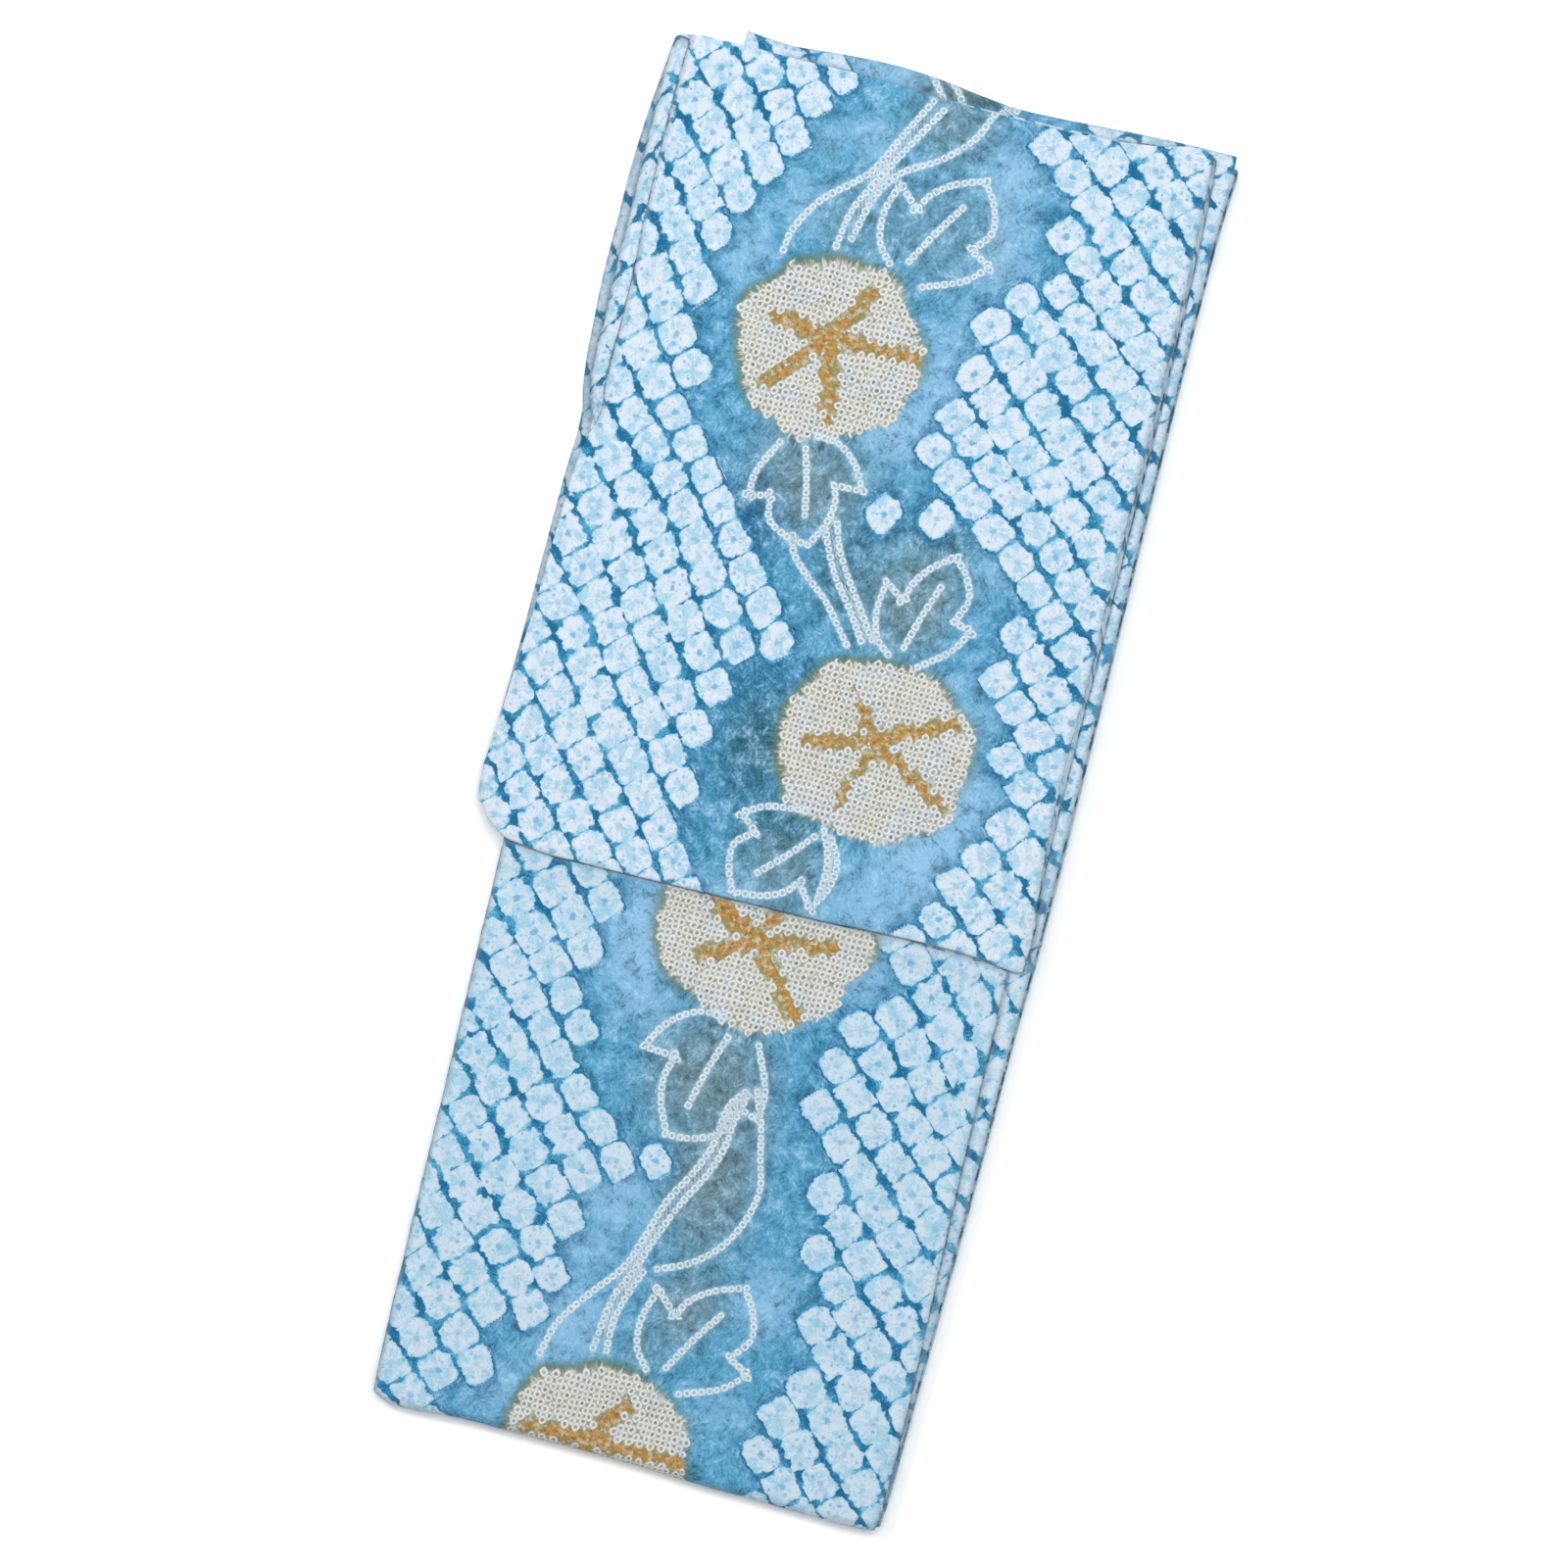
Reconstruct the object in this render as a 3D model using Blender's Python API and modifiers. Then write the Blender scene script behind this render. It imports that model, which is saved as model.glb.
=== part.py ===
"""A cotton yukata robe folded flat, the long way and then across, as it lies in a drawer.

The stack lies on its underside (z = 0).  x runs across it, y runs along it towards the shoulders,
and the origin is under the middle of the stack.  From the floor up it is the lower sleeve, the
body folded over at the waist (back panel outermost, front panel inside it, then the plies that
stay hidden), and the upper sleeve.  Lengths in the tables are millimetres.
"""

import math

import bmesh
import bpy
import numpy as np

MM = 0.001
COLLECTION = "folded_yukata"

# ------------------------------------------------------------------ driving sizes, in millimetres

PLY = 1.0  # one thickness of puckered cotton
GAP = 0.35  # air between two plies
PITCH = PLY + GAP
BODY_HEIGHT = 15.0  # the folded body, from its lowest ply to its highest
SLEEVE_HEIGHT = 2 * PLY + GAP  # a sleeve pressed flat: two plies and the air between them
SLEEVE_LIFT = SLEEVE_HEIGHT + GAP  # how far the lower sleeve raises the body that lies on it
LIFT_STARTS = -100.0  # y where the body begins to climb onto the lower sleeve
LIFT_ENDS = -76.0
NOSE = BODY_HEIGHT / 2  # outer radius of the fold at the waist

SHOULDER_STARTS = 404.0  # y past which the plies above begin to sink over the shoulder end
SHOULDER_SAG = 0.015  # sag = SHOULDER_SAG * distance ** 2
SLEEVE_SAG = 0.018  # the same, for the upper sleeve past the left side of the body
SLEEVE_SAG_STARTS = 1.0  # distance inside the body's left side where the upper sleeve begins to sag
SLEEVE_SAG_LIMIT = 17.0  # distance past which the sleeve hangs at an even slope
STEP_STARTS = 1.6  # distance past the back panel's right edge where the sleeve begins to step down
STEP_ENDS = 7.0

HIDDEN_PLIES = 7
HIDDEN_FLOOR = 2 * PITCH  # depth of the hidden plies under the body's outer face
GROOVE = 1.1  # depth of the valley between two hidden plies
LEDGE_PLY = 5  # the hem strip lies on this many hidden plies
HEM_THICKNESS = 1.2
HEM_AIR = 0.4  # air between the hem strip and the ply it lies on
HEM_REACH_BACK = 408.7  # y of the hidden edge of the hem strip


def table(names, rows):
    """A small table as a dictionary of columns."""
    return dict(zip(names.split(), np.array(rows, dtype=float).T))


# Sides of the body stack: left and right edge of the whole stack, right edge of the back panel.
BODY_SIDES = table("y left right back_right", [
    (-424.5, -153.2, 158.0, 155.0),
    (-407.0, -153.4, 159.2, 156.6),
    (-392.0, -153.8, 160.2, 157.4),
    (-362.0, -154.2, 161.2, 158.0),
    (-322.0, -154.2, 162.7, 157.4),
    (-202.0, -154.3, 166.7, 155.6),
    (-112.0, -154.5, 168.7, 154.8),
    (-62.0, -154.5, 170.6, 154.3),
    (48.0, -154.2, 172.0, 154.6),
    (198.0, -154.2, 172.5, 156.0),
    (298.0, -154.2, 173.2, 156.5),
    (368.0, -154.2, 174.3, 157.0),
    (398.0, -154.2, 176.0, 157.0),
    (407.5, -153.5, 176.75, 157.0),
    (412.5, -150.0, 175.6, 156.0),
])

# The fold at the waist, seen from above.
WAIST_FOLD = table("x y", [
    (-154.0, -415.0),
    (-137.0, -417.5),
    (-97.0, -416.0),
    (-57.0, -417.0),
    (3.0, -418.5),
    (43.0, -421.0),
    (103.0, -423.0),
    (143.0, -424.5),
    (159.0, -424.0),
])

# Rounding of the body's long edges: how far in (across) and how deep (along the thickness).
EDGE_ROUND = table("place across deep across_right deep_right", [
    (0, 6.0, 4.5, 12.0, 2.6),  # top run
    (1, 11.0, 5.0, 10.0, 4.0),  # round the waist fold
    (2, 4.0, 3.0, 8.0, 2.0),  # underside
])

# Hidden plies from the lowest up: how far each stays inside the stack's edges, and its far end.
HIDDEN = table("left right end", [
    (2.6, 3.4, 411.0),
    (1.4, 1.6, 414.5),
    (0.7, 0.9, 412.5),
    (1.6, 0.6, 415.5),
    (0.8, 1.3, 414.0),
    (2.2, 1.8, 406.0),
    (3.6, 3.0, 405.0),
])

# Upper sleeve: left edge of its front and back ply.  They part at the wrist opening, above y 182.
UPPER_LEFT = table("y front back", [
    (-37.5, -176.75, -175.6),
    (-27.0, -175.8, -174.8),
    (-2.0, -173.6, -172.6),
    (28.0, -171.2, -170.2),
    (68.0, -168.4, -167.4),
    (98.0, -167.3, -166.3),
    (118.0, -166.3, -165.3),
    (148.0, -164.8, -163.8),
    (168.0, -161.4, -160.6),
    (176.0, -159.2, -159.4),
    (182.5, -157.4, -162.6),
    (188.0, -157.4, -165.0),
    (198.0, -158.7, -167.0),
    (212.0, -158.8, -168.8),
    (238.0, -158.2, -167.9),
    (263.0, -157.8, -168.3),
    (300.0, -159.3, -168.0),
    (340.0, -159.6, -168.0),
    (398.0, -158.6, -167.6),
    (404.0, -158.2, -167.2),
    (408.0, -157.9, -166.9),
    (412.0, -157.5, -166.5),
])

# Upper sleeve: right edge of its front and back ply.
UPPER_RIGHT = table("y front back", [
    (-80.0, 163.0, 161.6),
    (-61.0, 164.2, 162.4),
    (-32.0, 161.5, 162.4),
    (8.0, 159.2, 162.0),
    (28.0, 158.8, 162.2),
    (88.0, 160.2, 163.2),
    (150.0, 160.8, 163.6),
    (340.0, 162.2, 164.8),
    (398.0, 160.8, 163.0),
    (414.0, 160.2, 162.0),
])

# Upper sleeve: fold along the arm (top) and sewn bottom edge with its rounded corner.
UPPER_ENDS = table("x bottom top", [
    (-176.75, -37.5, 411.5),
    (-175.8, -48.5, 412.4),
    (-171.8, -58.5, 413.6),
    (-166.5, -66.0, 414.4),
    (-155.8, -73.5, 414.6),
    (-141.0, -76.6, 414.4),
    (-100.0, -78.5, 414.0),
    (-57.0, -78.5, 414.0),
    (-7.0, -78.5, 411.0),
    (43.0, -78.5, 409.8),
    (93.0, -77.2, 410.5),
    (129.0, -78.0, 414.5),
    (143.0, -79.6, 417.5),
    (153.5, -80.9, 418.5),
    (158.0, -81.5, 417.5),
    (160.5, -81.4, 416.5),
    (163.0, -80.6, 414.5),
])

# Lower sleeve: left edge of its upper and under ply.
LOWER_LEFT = table("y front back", [
    (-30.0, -175.2, -174.4),
    (-12.0, -174.8, -174.0),
    (8.0, -173.8, -173.0),
    (38.0, -172.8, -172.0),
    (98.0, -171.5, -170.7),
    (148.0, -170.1, -169.3),
    (173.0, -168.8, -168.0),
    (184.0, -169.3, -168.2),
    (196.0, -171.8, -169.6),
    (213.0, -173.8, -171.4),
    (238.0, -175.0, -172.6),
    (258.0, -175.8, -173.4),
    (298.0, -175.3, -173.0),
    (328.0, -174.8, -172.6),
    (368.0, -172.3, -170.3),
    (388.0, -170.0, -168.2),
    (411.0, -167.2, -165.8),
])

LOWER_RIGHT = table("y front back", [
    (-70.0, 154.0, 153.0),
    (412.0, 154.0, 153.0),
])

LOWER_ENDS = table("x bottom top", [
    (-175.2, -30.0, 411.5),
    (-173.6, -42.0, 411.8),
    (-169.0, -54.0, 411.9),
    (-160.0, -63.0, 411.9),
    (-143.0, -68.5, 411.9),
    (-110.0, -70.0, 411.5),
    (0.0, -70.0, 408.0),
    (154.0, -70.0, 408.0),
])

# Hem of the skirt, which shows past the shoulder end.
HEM_EDGE = table("x y", [
    (-126.0, 424.0),
    (-112.0, 422.4),
    (-97.0, 421.5),
    (-82.0, 422.6),
    (-67.0, 423.6),
    (-47.0, 424.5),
    (-27.0, 424.2),
    (-7.0, 422.5),
    (13.0, 419.6),
    (38.0, 416.6),
    (63.0, 416.6),
    (93.0, 417.9),
    (123.0, 419.0),
    (150.0, 419.5),
    (173.5, 419.3),
])

# ------------------------------------------------------------------------- materials and objects


def fabric(name, colour):
    """Matt cotton, dyed in one mean colour."""
    material = bpy.data.materials.new(name)
    material.use_nodes = True
    shader = material.node_tree.nodes["Principled BSDF"]
    shader.inputs["Base Color"].default_value = (*colour, 1.0)
    shader.inputs["Roughness"].default_value = 0.9
    shader.inputs["Metallic"].default_value = 0.0
    return material


def new_object(name, mesh, material):
    """Put a mesh, given in millimetres, into the garment's collection in metres."""
    for vertex in mesh.verts:
        vertex.co *= MM
    bmesh.ops.recalc_face_normals(mesh, faces=mesh.faces)
    data = bpy.data.meshes.new(name)
    mesh.to_mesh(data)
    mesh.free()
    data.shade_smooth()
    data.set_sharp_from_angle(angle=math.radians(40))
    data.materials.append(material)
    made = bpy.data.objects.new(name, data)
    bpy.data.collections[COLLECTION].objects.link(made)
    return made


def loft(sections, closed=False):
    """Faces between neighbouring sections, each a row of the same number of points."""
    mesh = bmesh.new()
    rows = [[mesh.verts.new(point) for point in section] for section in sections]
    following = rows[1:] + rows[:1] if closed else rows[1:]
    for row, other in zip(rows, following):
        for a, b, c, d in zip(row, row[1:], other[1:], other):
            mesh.faces.new((a, b, c, d))
    return mesh


def give_wall(cloth, thickness):
    """Give an open sheet its wall, grown inwards from its outer side, which first looks up."""
    mesh = cloth.data
    if mesh.polygons[0].normal.z < 0:
        mesh.flip_normals()
    wall = cloth.modifiers.new("wall", "SOLIDIFY")
    wall.thickness = thickness * MM
    wall.offset = -1.0
    return cloth


# ----------------------------------------------------------------------------- the folded body


def smooth_step(value, start, end):
    """0 before start, 1 after end, and an even S between them."""
    part = np.clip((value - start) / (end - start), 0.0, 1.0)
    return part * part * (3.0 - 2.0 * part)


def lift(y):
    """Height of the body's underside above the floor."""
    return SLEEVE_LIFT * smooth_step(y, LIFT_STARTS, LIFT_ENDS)


def shoulder_sag(y):
    """How far the plies above sink past the shoulder end."""
    return SHOULDER_SAG * max(0.0, y - SHOULDER_STARTS) ** 2


def side(y, column):
    """One edge of the body at y."""
    return float(np.interp(y, BODY_SIDES["y"], BODY_SIDES[column]))


def waist_fold(x):
    """Outer line of the waist fold at x."""
    return float(np.interp(x, WAIST_FOLD["x"], WAIST_FOLD["y"]))


def quarter_drop(reach, across, deep):
    """Depth of an elliptical edge at a distance reach past the start of its rounding."""
    part = min(max(reach / across, 0.0), 1.0)
    return deep * (1.0 - math.sqrt(1.0 - part * part))


def edge_depth(x, y, place):
    """Depth of the body's outer face below its flat, near its long edges."""
    across, deep, across_right, deep_right = (
        float(np.interp(place, EDGE_ROUND["place"], EDGE_ROUND[name]))
        for name in ("across", "deep", "across_right", "deep_right")
    )
    left = quarter_drop(side(y, "left") + across - x, across, deep)
    right = quarter_drop(x - (side(y, "right") + 1.0 - across_right), across_right, deep_right)
    return left + right


def right_drop(x, y):
    """Depth of the body's outer face at x, past the start of its right edge."""
    across, deep = EDGE_ROUND["across_right"][0], EDGE_ROUND["deep_right"][0]
    return quarter_drop(x - (side(y, "right") + 1.0 - across), across, deep)


def top_run(x, y, depth):
    """A point of the body above its middle, depth below the outer face."""
    return (x, y, lift(y) + BODY_HEIGHT - shoulder_sag(y) - edge_depth(x, y, 0) - depth)


def waist_run(x, turn, depth):
    """A point round the waist fold: turn goes from 0 at the top to 1 at the underside."""
    angle = math.pi * (0.5 - turn)
    fold = waist_fold(x)
    place = 1.0 - abs(2.0 * turn - 1.0) if turn < 0.5 else 1.0 + abs(2.0 * turn - 1.0)
    radius = NOSE - depth - edge_depth(x, fold, place)
    return (x, fold + NOSE - radius * math.cos(angle), NOSE + radius * math.sin(angle))


def under_run(x, y, depth):
    """A point of the body's lower half, depth above its underside."""
    return (x, y, lift(y) + edge_depth(x, y, 2) + depth)


def body_sheet(columns, top_rows, under_rows, depth):
    """Sections of one panel: along the top, round the waist and back along the underside."""
    sections = [[top_run(x, y, depth) for x in columns(y)] for y in top_rows]
    for turn in TURNS:
        sections.append([waist_run(x, turn, depth) for x in columns(waist_fold(0.0))])
    sections += [[under_run(x, y, depth) for x in columns(y)] for y in under_rows]
    return sections


TOP_SHOULDER_ROWS = (409.0, 404.0, 398.0, 298.0, 150.0)
FRONT_SHOULDER_ROWS = (411.5, 407.5, 404.0, 398.0, 368.0, 298.0, 198.0, 48.0)
TOP_ROWS = (-62.0, -76.0, -88.0, -100.0, -202.0, -322.0, -385.0, -400.0)
UNDER_ROWS = (-400.0, -322.0, -202.0, -100.0, -88.0, -76.0, 150.0, 298.0, 398.0, 407.0)
FRONT_UNDER_ROWS = UNDER_ROWS[:3]
TURNS = [step / 8 for step in range(9)]
FLAT_COLUMNS = WAIST_FOLD["x"][1:-1]
LEFT_CURL = (0.15, 0.8, 2.0, 4.0, 7.0, 11.0)  # columns of the back panel inside its left edge
RIGHT_CURL = (6.5, 2.5, 0.0)
FRONT_CURL = (12.0, 8.0, 5.0, 3.0, 1.4, 0.3)  # columns of the front panel inside its right edge
FRONT_INSET = 12.0  # how far the front panel stays inside the body's left side


def back_panel(material):
    """The ply that shows: down from the shoulder, round the waist and back under the stack."""

    def columns(y):
        left = [side(y, "left") + inside for inside in LEFT_CURL]
        right = [side(y, "back_right") - inside for inside in RIGHT_CURL]
        return [*left, *FLAT_COLUMNS, *right]

    top = (*TOP_SHOULDER_ROWS, *TOP_ROWS)
    mesh = loft(body_sheet(columns, top, UNDER_ROWS, 0.0))
    cloth = new_object("back_panel", mesh, material)
    return give_wall(cloth, PLY)


def front_panel(material):
    """The ply inside the back panel, which shows along the right edge and at the shoulder."""

    def columns(y):
        right = [side(y, "right") - inside for inside in FRONT_CURL]
        return [side(y, "left") + FRONT_INSET, *FLAT_COLUMNS, *right]

    top = (*FRONT_SHOULDER_ROWS, *TOP_ROWS)
    mesh = loft(body_sheet(columns, top, FRONT_UNDER_ROWS, PITCH))
    cloth = new_object("front_panel", mesh, material)
    return give_wall(cloth, PLY)


# --------------------------------------------------------------------- plies that stay hidden

HIDDEN_ROWS = (-322.0, -202.0, -112.0, -100.0, -88.0, -76.0, 48.0, 198.0, 298.0, 368.0)

# Rows near the waist fold and the shoulder end: how far from it, and how far in from each side.
NOSE_ROWS = table("away left right", [
    (0.5, 9.0, 9.0),
    (1.7, 5.0, 5.0),
    (3.9, 2.0, 2.0),
    (7.0, 0.5, 0.5),
    (12.0, 0.0, 0.0),
    (30.0, 0.0, 0.0),
])
END_ROWS = table("away left right", [
    (30.0, 0.0, 0.0),
    (10.0, 0.0, 0.0),
    (6.0, 24.0, 0.0),
    (3.0, 26.0, 1.5),
    (0.0, 29.0, 3.0),
])
PARTS = (*np.linspace(0.0, 0.95, 8), 0.975, 1.0)  # columns across the stack
WAVE = 0.35  # the plies' edges wander this far, WAVES times along the stack
WAVES = 3
STACK_LENGTH = 840.0


def hidden_height(level):
    """Height of a ring above the body's underside, level from 0 to HIDDEN_PLIES."""
    return HIDDEN_FLOOR + level * (BODY_HEIGHT - 2 * HIDDEN_FLOOR) / HIDDEN_PLIES


def hidden_sink(x, y, height):
    """How far the plies at a height sink towards the body's right edge."""
    return right_drop(x, y) * (height / BODY_HEIGHT) ** 2


def hidden_point(level, inset, ply, row, part):
    """A point of the hidden plies: row runs along the stack, part runs across it from 0 to 1."""
    height = hidden_height(level)
    nose = NOSE - math.sqrt(max((NOSE - HIDDEN_FLOOR) ** 2 - (height - NOSE) ** 2, 0.0))
    kind, place, corner_left, corner_right = row
    y = place
    if kind == "nose":
        y = waist_fold(0.0) + nose + inset + place
    elif kind == "end":
        y = HIDDEN["end"][ply] - inset - place
    wave = WAVE * math.sin(WAVES * math.tau * y / STACK_LENGTH + 2.0 * ply)
    left = side(y, "left") + HIDDEN["left"][ply] + inset + corner_left + wave
    right = side(y, "right") - HIDDEN["right"][ply] - inset - corner_right + wave
    x = left + part * (right - left)
    if kind == "nose":
        y += waist_fold(x) - waist_fold(0.0)
    return (x, y, lift(y) + height - hidden_sink(x, y, height))


def hidden_layers(material):
    """The skirt, fronts, collar and facings inside the fold, as one solid layered at its edges."""
    rows = [("nose", *place) for place in zip(*NOSE_ROWS.values())]
    rows += [("run", y, 0.0, 0.0) for y in HIDDEN_ROWS]
    rows += [("end", *place) for place in zip(*END_ROWS.values())]
    rings = [(0.0, GROOVE, 0)]
    for ply in range(HIDDEN_PLIES):
        rings += [(ply + 0.25, 0.0, ply), (ply + 0.75, 0.0, ply)]
        if ply + 1 < HIDDEN_PLIES:
            rings += [(ply + 1.0, GROOVE, ply)]
            if ply + 1 == LEDGE_PLY:
                rings += [(ply + 1.0, GROOVE, ply + 1)]
    rings += [(float(HIDDEN_PLIES), GROOVE, HIDDEN_PLIES - 1)]

    mesh = bmesh.new()
    last_row = len(rows) - 1
    last_part = len(PARTS) - 1
    border = [(r, 0) for r in range(last_row)]
    border += [(last_row, p) for p in range(last_part)]
    border += [(r, last_part) for r in range(last_row, 0, -1)]
    border += [(0, p) for p in range(last_part, 0, -1)]

    def vertex(ring, r, p):
        return mesh.verts.new(hidden_point(*ring, rows[r], PARTS[p]))

    loops = [{spot: vertex(ring, *spot) for spot in border} for ring in rings]
    for low, high in zip(loops, loops[1:]):
        for spot, other in zip(border, border[1:] + border[:1]):
            mesh.faces.new((low[spot], low[other], high[other], high[spot]))
    for ring, loop in ((rings[0], loops[0]), (rings[-1], loops[-1])):
        for r in range(last_row):
            for p in range(last_part):
                corners = [(r, p), (r + 1, p), (r + 1, p + 1), (r, p + 1)]
                for spot in corners:
                    if spot not in loop:
                        loop[spot] = vertex(ring, *spot)
                mesh.faces.new([loop[spot] for spot in corners])
    return new_object("hidden_layers", mesh, material)


# ------------------------------------------------------------------------------------ hem strip


def hem_strip(material):
    """The hem of the skirt, a turned edge that lies on the lower plies past the shoulders."""
    height = hidden_height(LEDGE_PLY) + HEM_AIR + HEM_THICKNESS
    sections = []
    for x, reach in zip(HEM_EDGE["x"], HEM_EDGE["y"]):
        top = lift(HEM_REACH_BACK) + height - hidden_sink(x, HEM_REACH_BACK, height)
        sections.append([
            (x, HEM_REACH_BACK, top),
            (x, reach - 4.0, top),
            (x, reach - 1.2, top - 0.1),
            (x, reach, top - 0.5),
        ])
    cloth = new_object("hem_strip", loft(sections), material)
    return give_wall(cloth, HEM_THICKNESS)


# -------------------------------------------------------------------------------------- sleeves


def upper_rest(x, y):
    """What the upper sleeve lies on: the body's top, and the air past its left side."""
    over_left = side(y, "left") + SLEEVE_SAG_STARTS - x
    near = min(max(over_left, 0.0), SLEEVE_SAG_LIMIT)
    sag = SLEEVE_SAG * near ** 2
    sag += 2.0 * SLEEVE_SAG * SLEEVE_SAG_LIMIT * max(0.0, over_left - SLEEVE_SAG_LIMIT)
    edge = side(y, "back_right")
    step = PITCH * smooth_step(x, edge + STEP_STARTS, edge + STEP_ENDS)
    return lift(y) + BODY_HEIGHT - shoulder_sag(y) - sag - step - right_drop(x, y)


def sleeve(name, left, right, ends, rest, material):
    """A sleeve pressed flat: front ply, fold along the arm, back ply and sewn bottom edge."""
    turn = SLEEVE_HEIGHT / 2
    first, last = ends["x"][0], ends["x"][-1]
    low, high = ends["bottom"][0] + turn, ends["top"][0] - turn
    shares = [(y - low) / (high - low) for y in left["y"]]
    shares = sorted({min(max(share, 0.0), 1.0) for share in shares})

    def point(x, share, ply, lean=0.0):
        """lean turns the point round the fold, from 0 at the ply to 1 at the fold's outer line."""
        across = (x - first) / (last - first)
        bottom = np.interp(x, ends["x"], ends["bottom"]) + turn
        top = np.interp(x, ends["x"], ends["top"]) - turn
        y = bottom + share * (top - bottom)
        edge_left = np.interp(y, left["y"], left[ply])
        edge_right = np.interp(y, right["y"], right[ply])
        if lean:
            other = "back" if ply == "front" else "front"
            edge_left += lean / 2 * (np.interp(y, left["y"], left[other]) - edge_left)
            edge_right += lean / 2 * (np.interp(y, right["y"], right[other]) - edge_right)
        place = edge_left + across * (edge_right - edge_left)
        middle = rest(place, y) + turn
        height = turn * math.cos(lean * math.pi / 2)
        reach = turn * math.sin(lean * math.pi / 2)
        outward = reach if share > 0.5 else -reach
        return (place, y + outward, middle + (height if ply == "front" else -height))

    columns = [*ends["x"]]
    sections = [[point(x, share, "front") for x in columns] for share in shares]
    for ply, lean in (("front", 0.5), ("front", 1.0), ("back", 0.5)):
        sections.append([point(x, 1.0, ply, lean) for x in columns])
    sections += [[point(x, share, "back") for x in columns] for share in reversed(shares)]
    for ply, lean in (("back", 0.5), ("back", 1.0), ("front", 0.5)):
        sections.append([point(x, 0.0, ply, lean) for x in columns])
    cloth = new_object(name, loft(sections, closed=True), material)
    return give_wall(cloth, PLY)


# --------------------------------------------------------------------------------------- build


def build():
    for old in list(bpy.data.objects):
        bpy.data.objects.remove(old, do_unlink=True)
    garment = bpy.data.collections.new(COLLECTION)
    bpy.context.scene.collection.children.link(garment)

    pale = (0.62, 0.78, 0.87)
    hidden_layers(fabric("hidden_cotton", (0.58, 0.74, 0.84)))
    back_panel(fabric("back_cotton", pale))
    front_panel(fabric("front_cotton", pale))
    hem_strip(fabric("hem_cotton", (0.45, 0.64, 0.74)))
    sleeve("sleeve_lower", LOWER_LEFT, LOWER_RIGHT, LOWER_ENDS, lambda x, y: 0.0,
           fabric("lower_sleeve_cotton", pale))
    sleeve("sleeve_upper", UPPER_LEFT, UPPER_RIGHT, UPPER_ENDS,
           lambda x, y: upper_rest(x, y) + GAP, fabric("upper_sleeve_cotton", pale))


build()
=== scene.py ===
import math

import bpy
import numpy as np
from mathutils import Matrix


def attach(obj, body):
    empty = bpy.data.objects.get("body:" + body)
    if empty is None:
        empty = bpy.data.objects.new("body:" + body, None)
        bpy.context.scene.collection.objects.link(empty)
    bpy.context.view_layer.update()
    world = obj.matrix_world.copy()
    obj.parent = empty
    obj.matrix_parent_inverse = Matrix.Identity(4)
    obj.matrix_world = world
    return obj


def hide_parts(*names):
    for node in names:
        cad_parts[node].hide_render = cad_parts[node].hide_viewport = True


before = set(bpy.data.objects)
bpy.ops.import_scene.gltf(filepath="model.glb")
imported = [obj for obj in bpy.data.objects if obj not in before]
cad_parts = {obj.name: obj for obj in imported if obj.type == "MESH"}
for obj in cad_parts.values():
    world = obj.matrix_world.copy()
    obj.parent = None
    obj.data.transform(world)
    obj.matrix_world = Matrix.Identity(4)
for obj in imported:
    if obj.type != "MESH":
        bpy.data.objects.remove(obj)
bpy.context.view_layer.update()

# ------------------------------------------------------------------------------ back panel
# The outer ply of the folded body: plain-weave cotton, tied and dyed, about 31 cm wide.  It runs
# down from the shoulders, round the fold at the waist and back under the stack.
# Lengths are in millimetres until a mesh is made of them.

MM = 0.001
PLY = 0.9  # one thickness of puckered cotton
PITCH = 1.35  # from one ply to the next
BODY_HEIGHT = 15.0
SLEEVE_HEIGHT = 2.35
SLEEVE_LIFT = 2.7  # how far the lower sleeve raises the body that lies on it
NOSE = BODY_HEIGHT / 2  # outer radius of the fold at the waist
RIGHT_PAST = 1.0  # the rounding of the body's right edge ends this far past its side
FINE = 1.5  # spacing of the points where the cloth shows
COARSE = 12.0  # and where it lies hidden


def table(names, rows):
    """A small table as a dictionary of columns."""
    return dict(zip(names.split(), np.array(rows, dtype=float).T))


def stack(*parts):
    """Coordinates side by side, as the last axis."""
    return np.stack(parts, axis=-1)


def heading(turn):
    """Unit step in a direction given in degrees."""
    return math.cos(math.radians(turn)), math.sin(math.radians(turn))


# Sides of the body stack: left and right edge of the whole stack, right edge of the back panel.
BODY_SIDES = table("y left right back_right", [
    (-424.5, -153.2, 158.0, 155.0),
    (-407.0, -153.4, 159.2, 156.6),
    (-392.0, -153.8, 160.2, 157.4),
    (-362.0, -154.2, 161.2, 158.0),
    (-322.0, -154.2, 162.7, 157.4),
    (-202.0, -154.3, 166.7, 155.6),
    (-112.0, -154.5, 168.7, 154.8),
    (-62.0, -154.5, 170.6, 154.3),
    (48.0, -154.2, 172.0, 154.6),
    (198.0, -154.2, 172.5, 156.0),
    (298.0, -154.2, 173.2, 156.5),
    (368.0, -154.2, 174.3, 157.0),
    (398.0, -154.2, 176.0, 157.0),
    (407.5, -153.5, 176.75, 157.0),
    (412.5, -150.0, 175.6, 156.0),
])
WAIST_FOLD = table("x y", [
    (-154.0, -415.0),
    (-137.0, -417.5),
    (-97.0, -416.0),
    (-57.0, -417.0),
    (3.0, -418.5),
    (43.0, -421.0),
    (103.0, -423.0),
    (143.0, -424.5),
    (159.0, -424.0),
])
WAIST_MIDDLE = -418.5
WAIST_STRAIGHT = -330.0  # from here up the waist fold's slant no longer moves the rows
# Rounding of the body's long edges: how far in (across) and how deep (along the thickness).
EDGE_ROUND = table("place across deep across_right deep_right", [
    (0, 6.0, 4.5, 12.0, 2.6),
    (1, 11.0, 5.0, 10.0, 4.0),
    (2, 4.0, 3.0, 8.0, 2.0),
])


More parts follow.
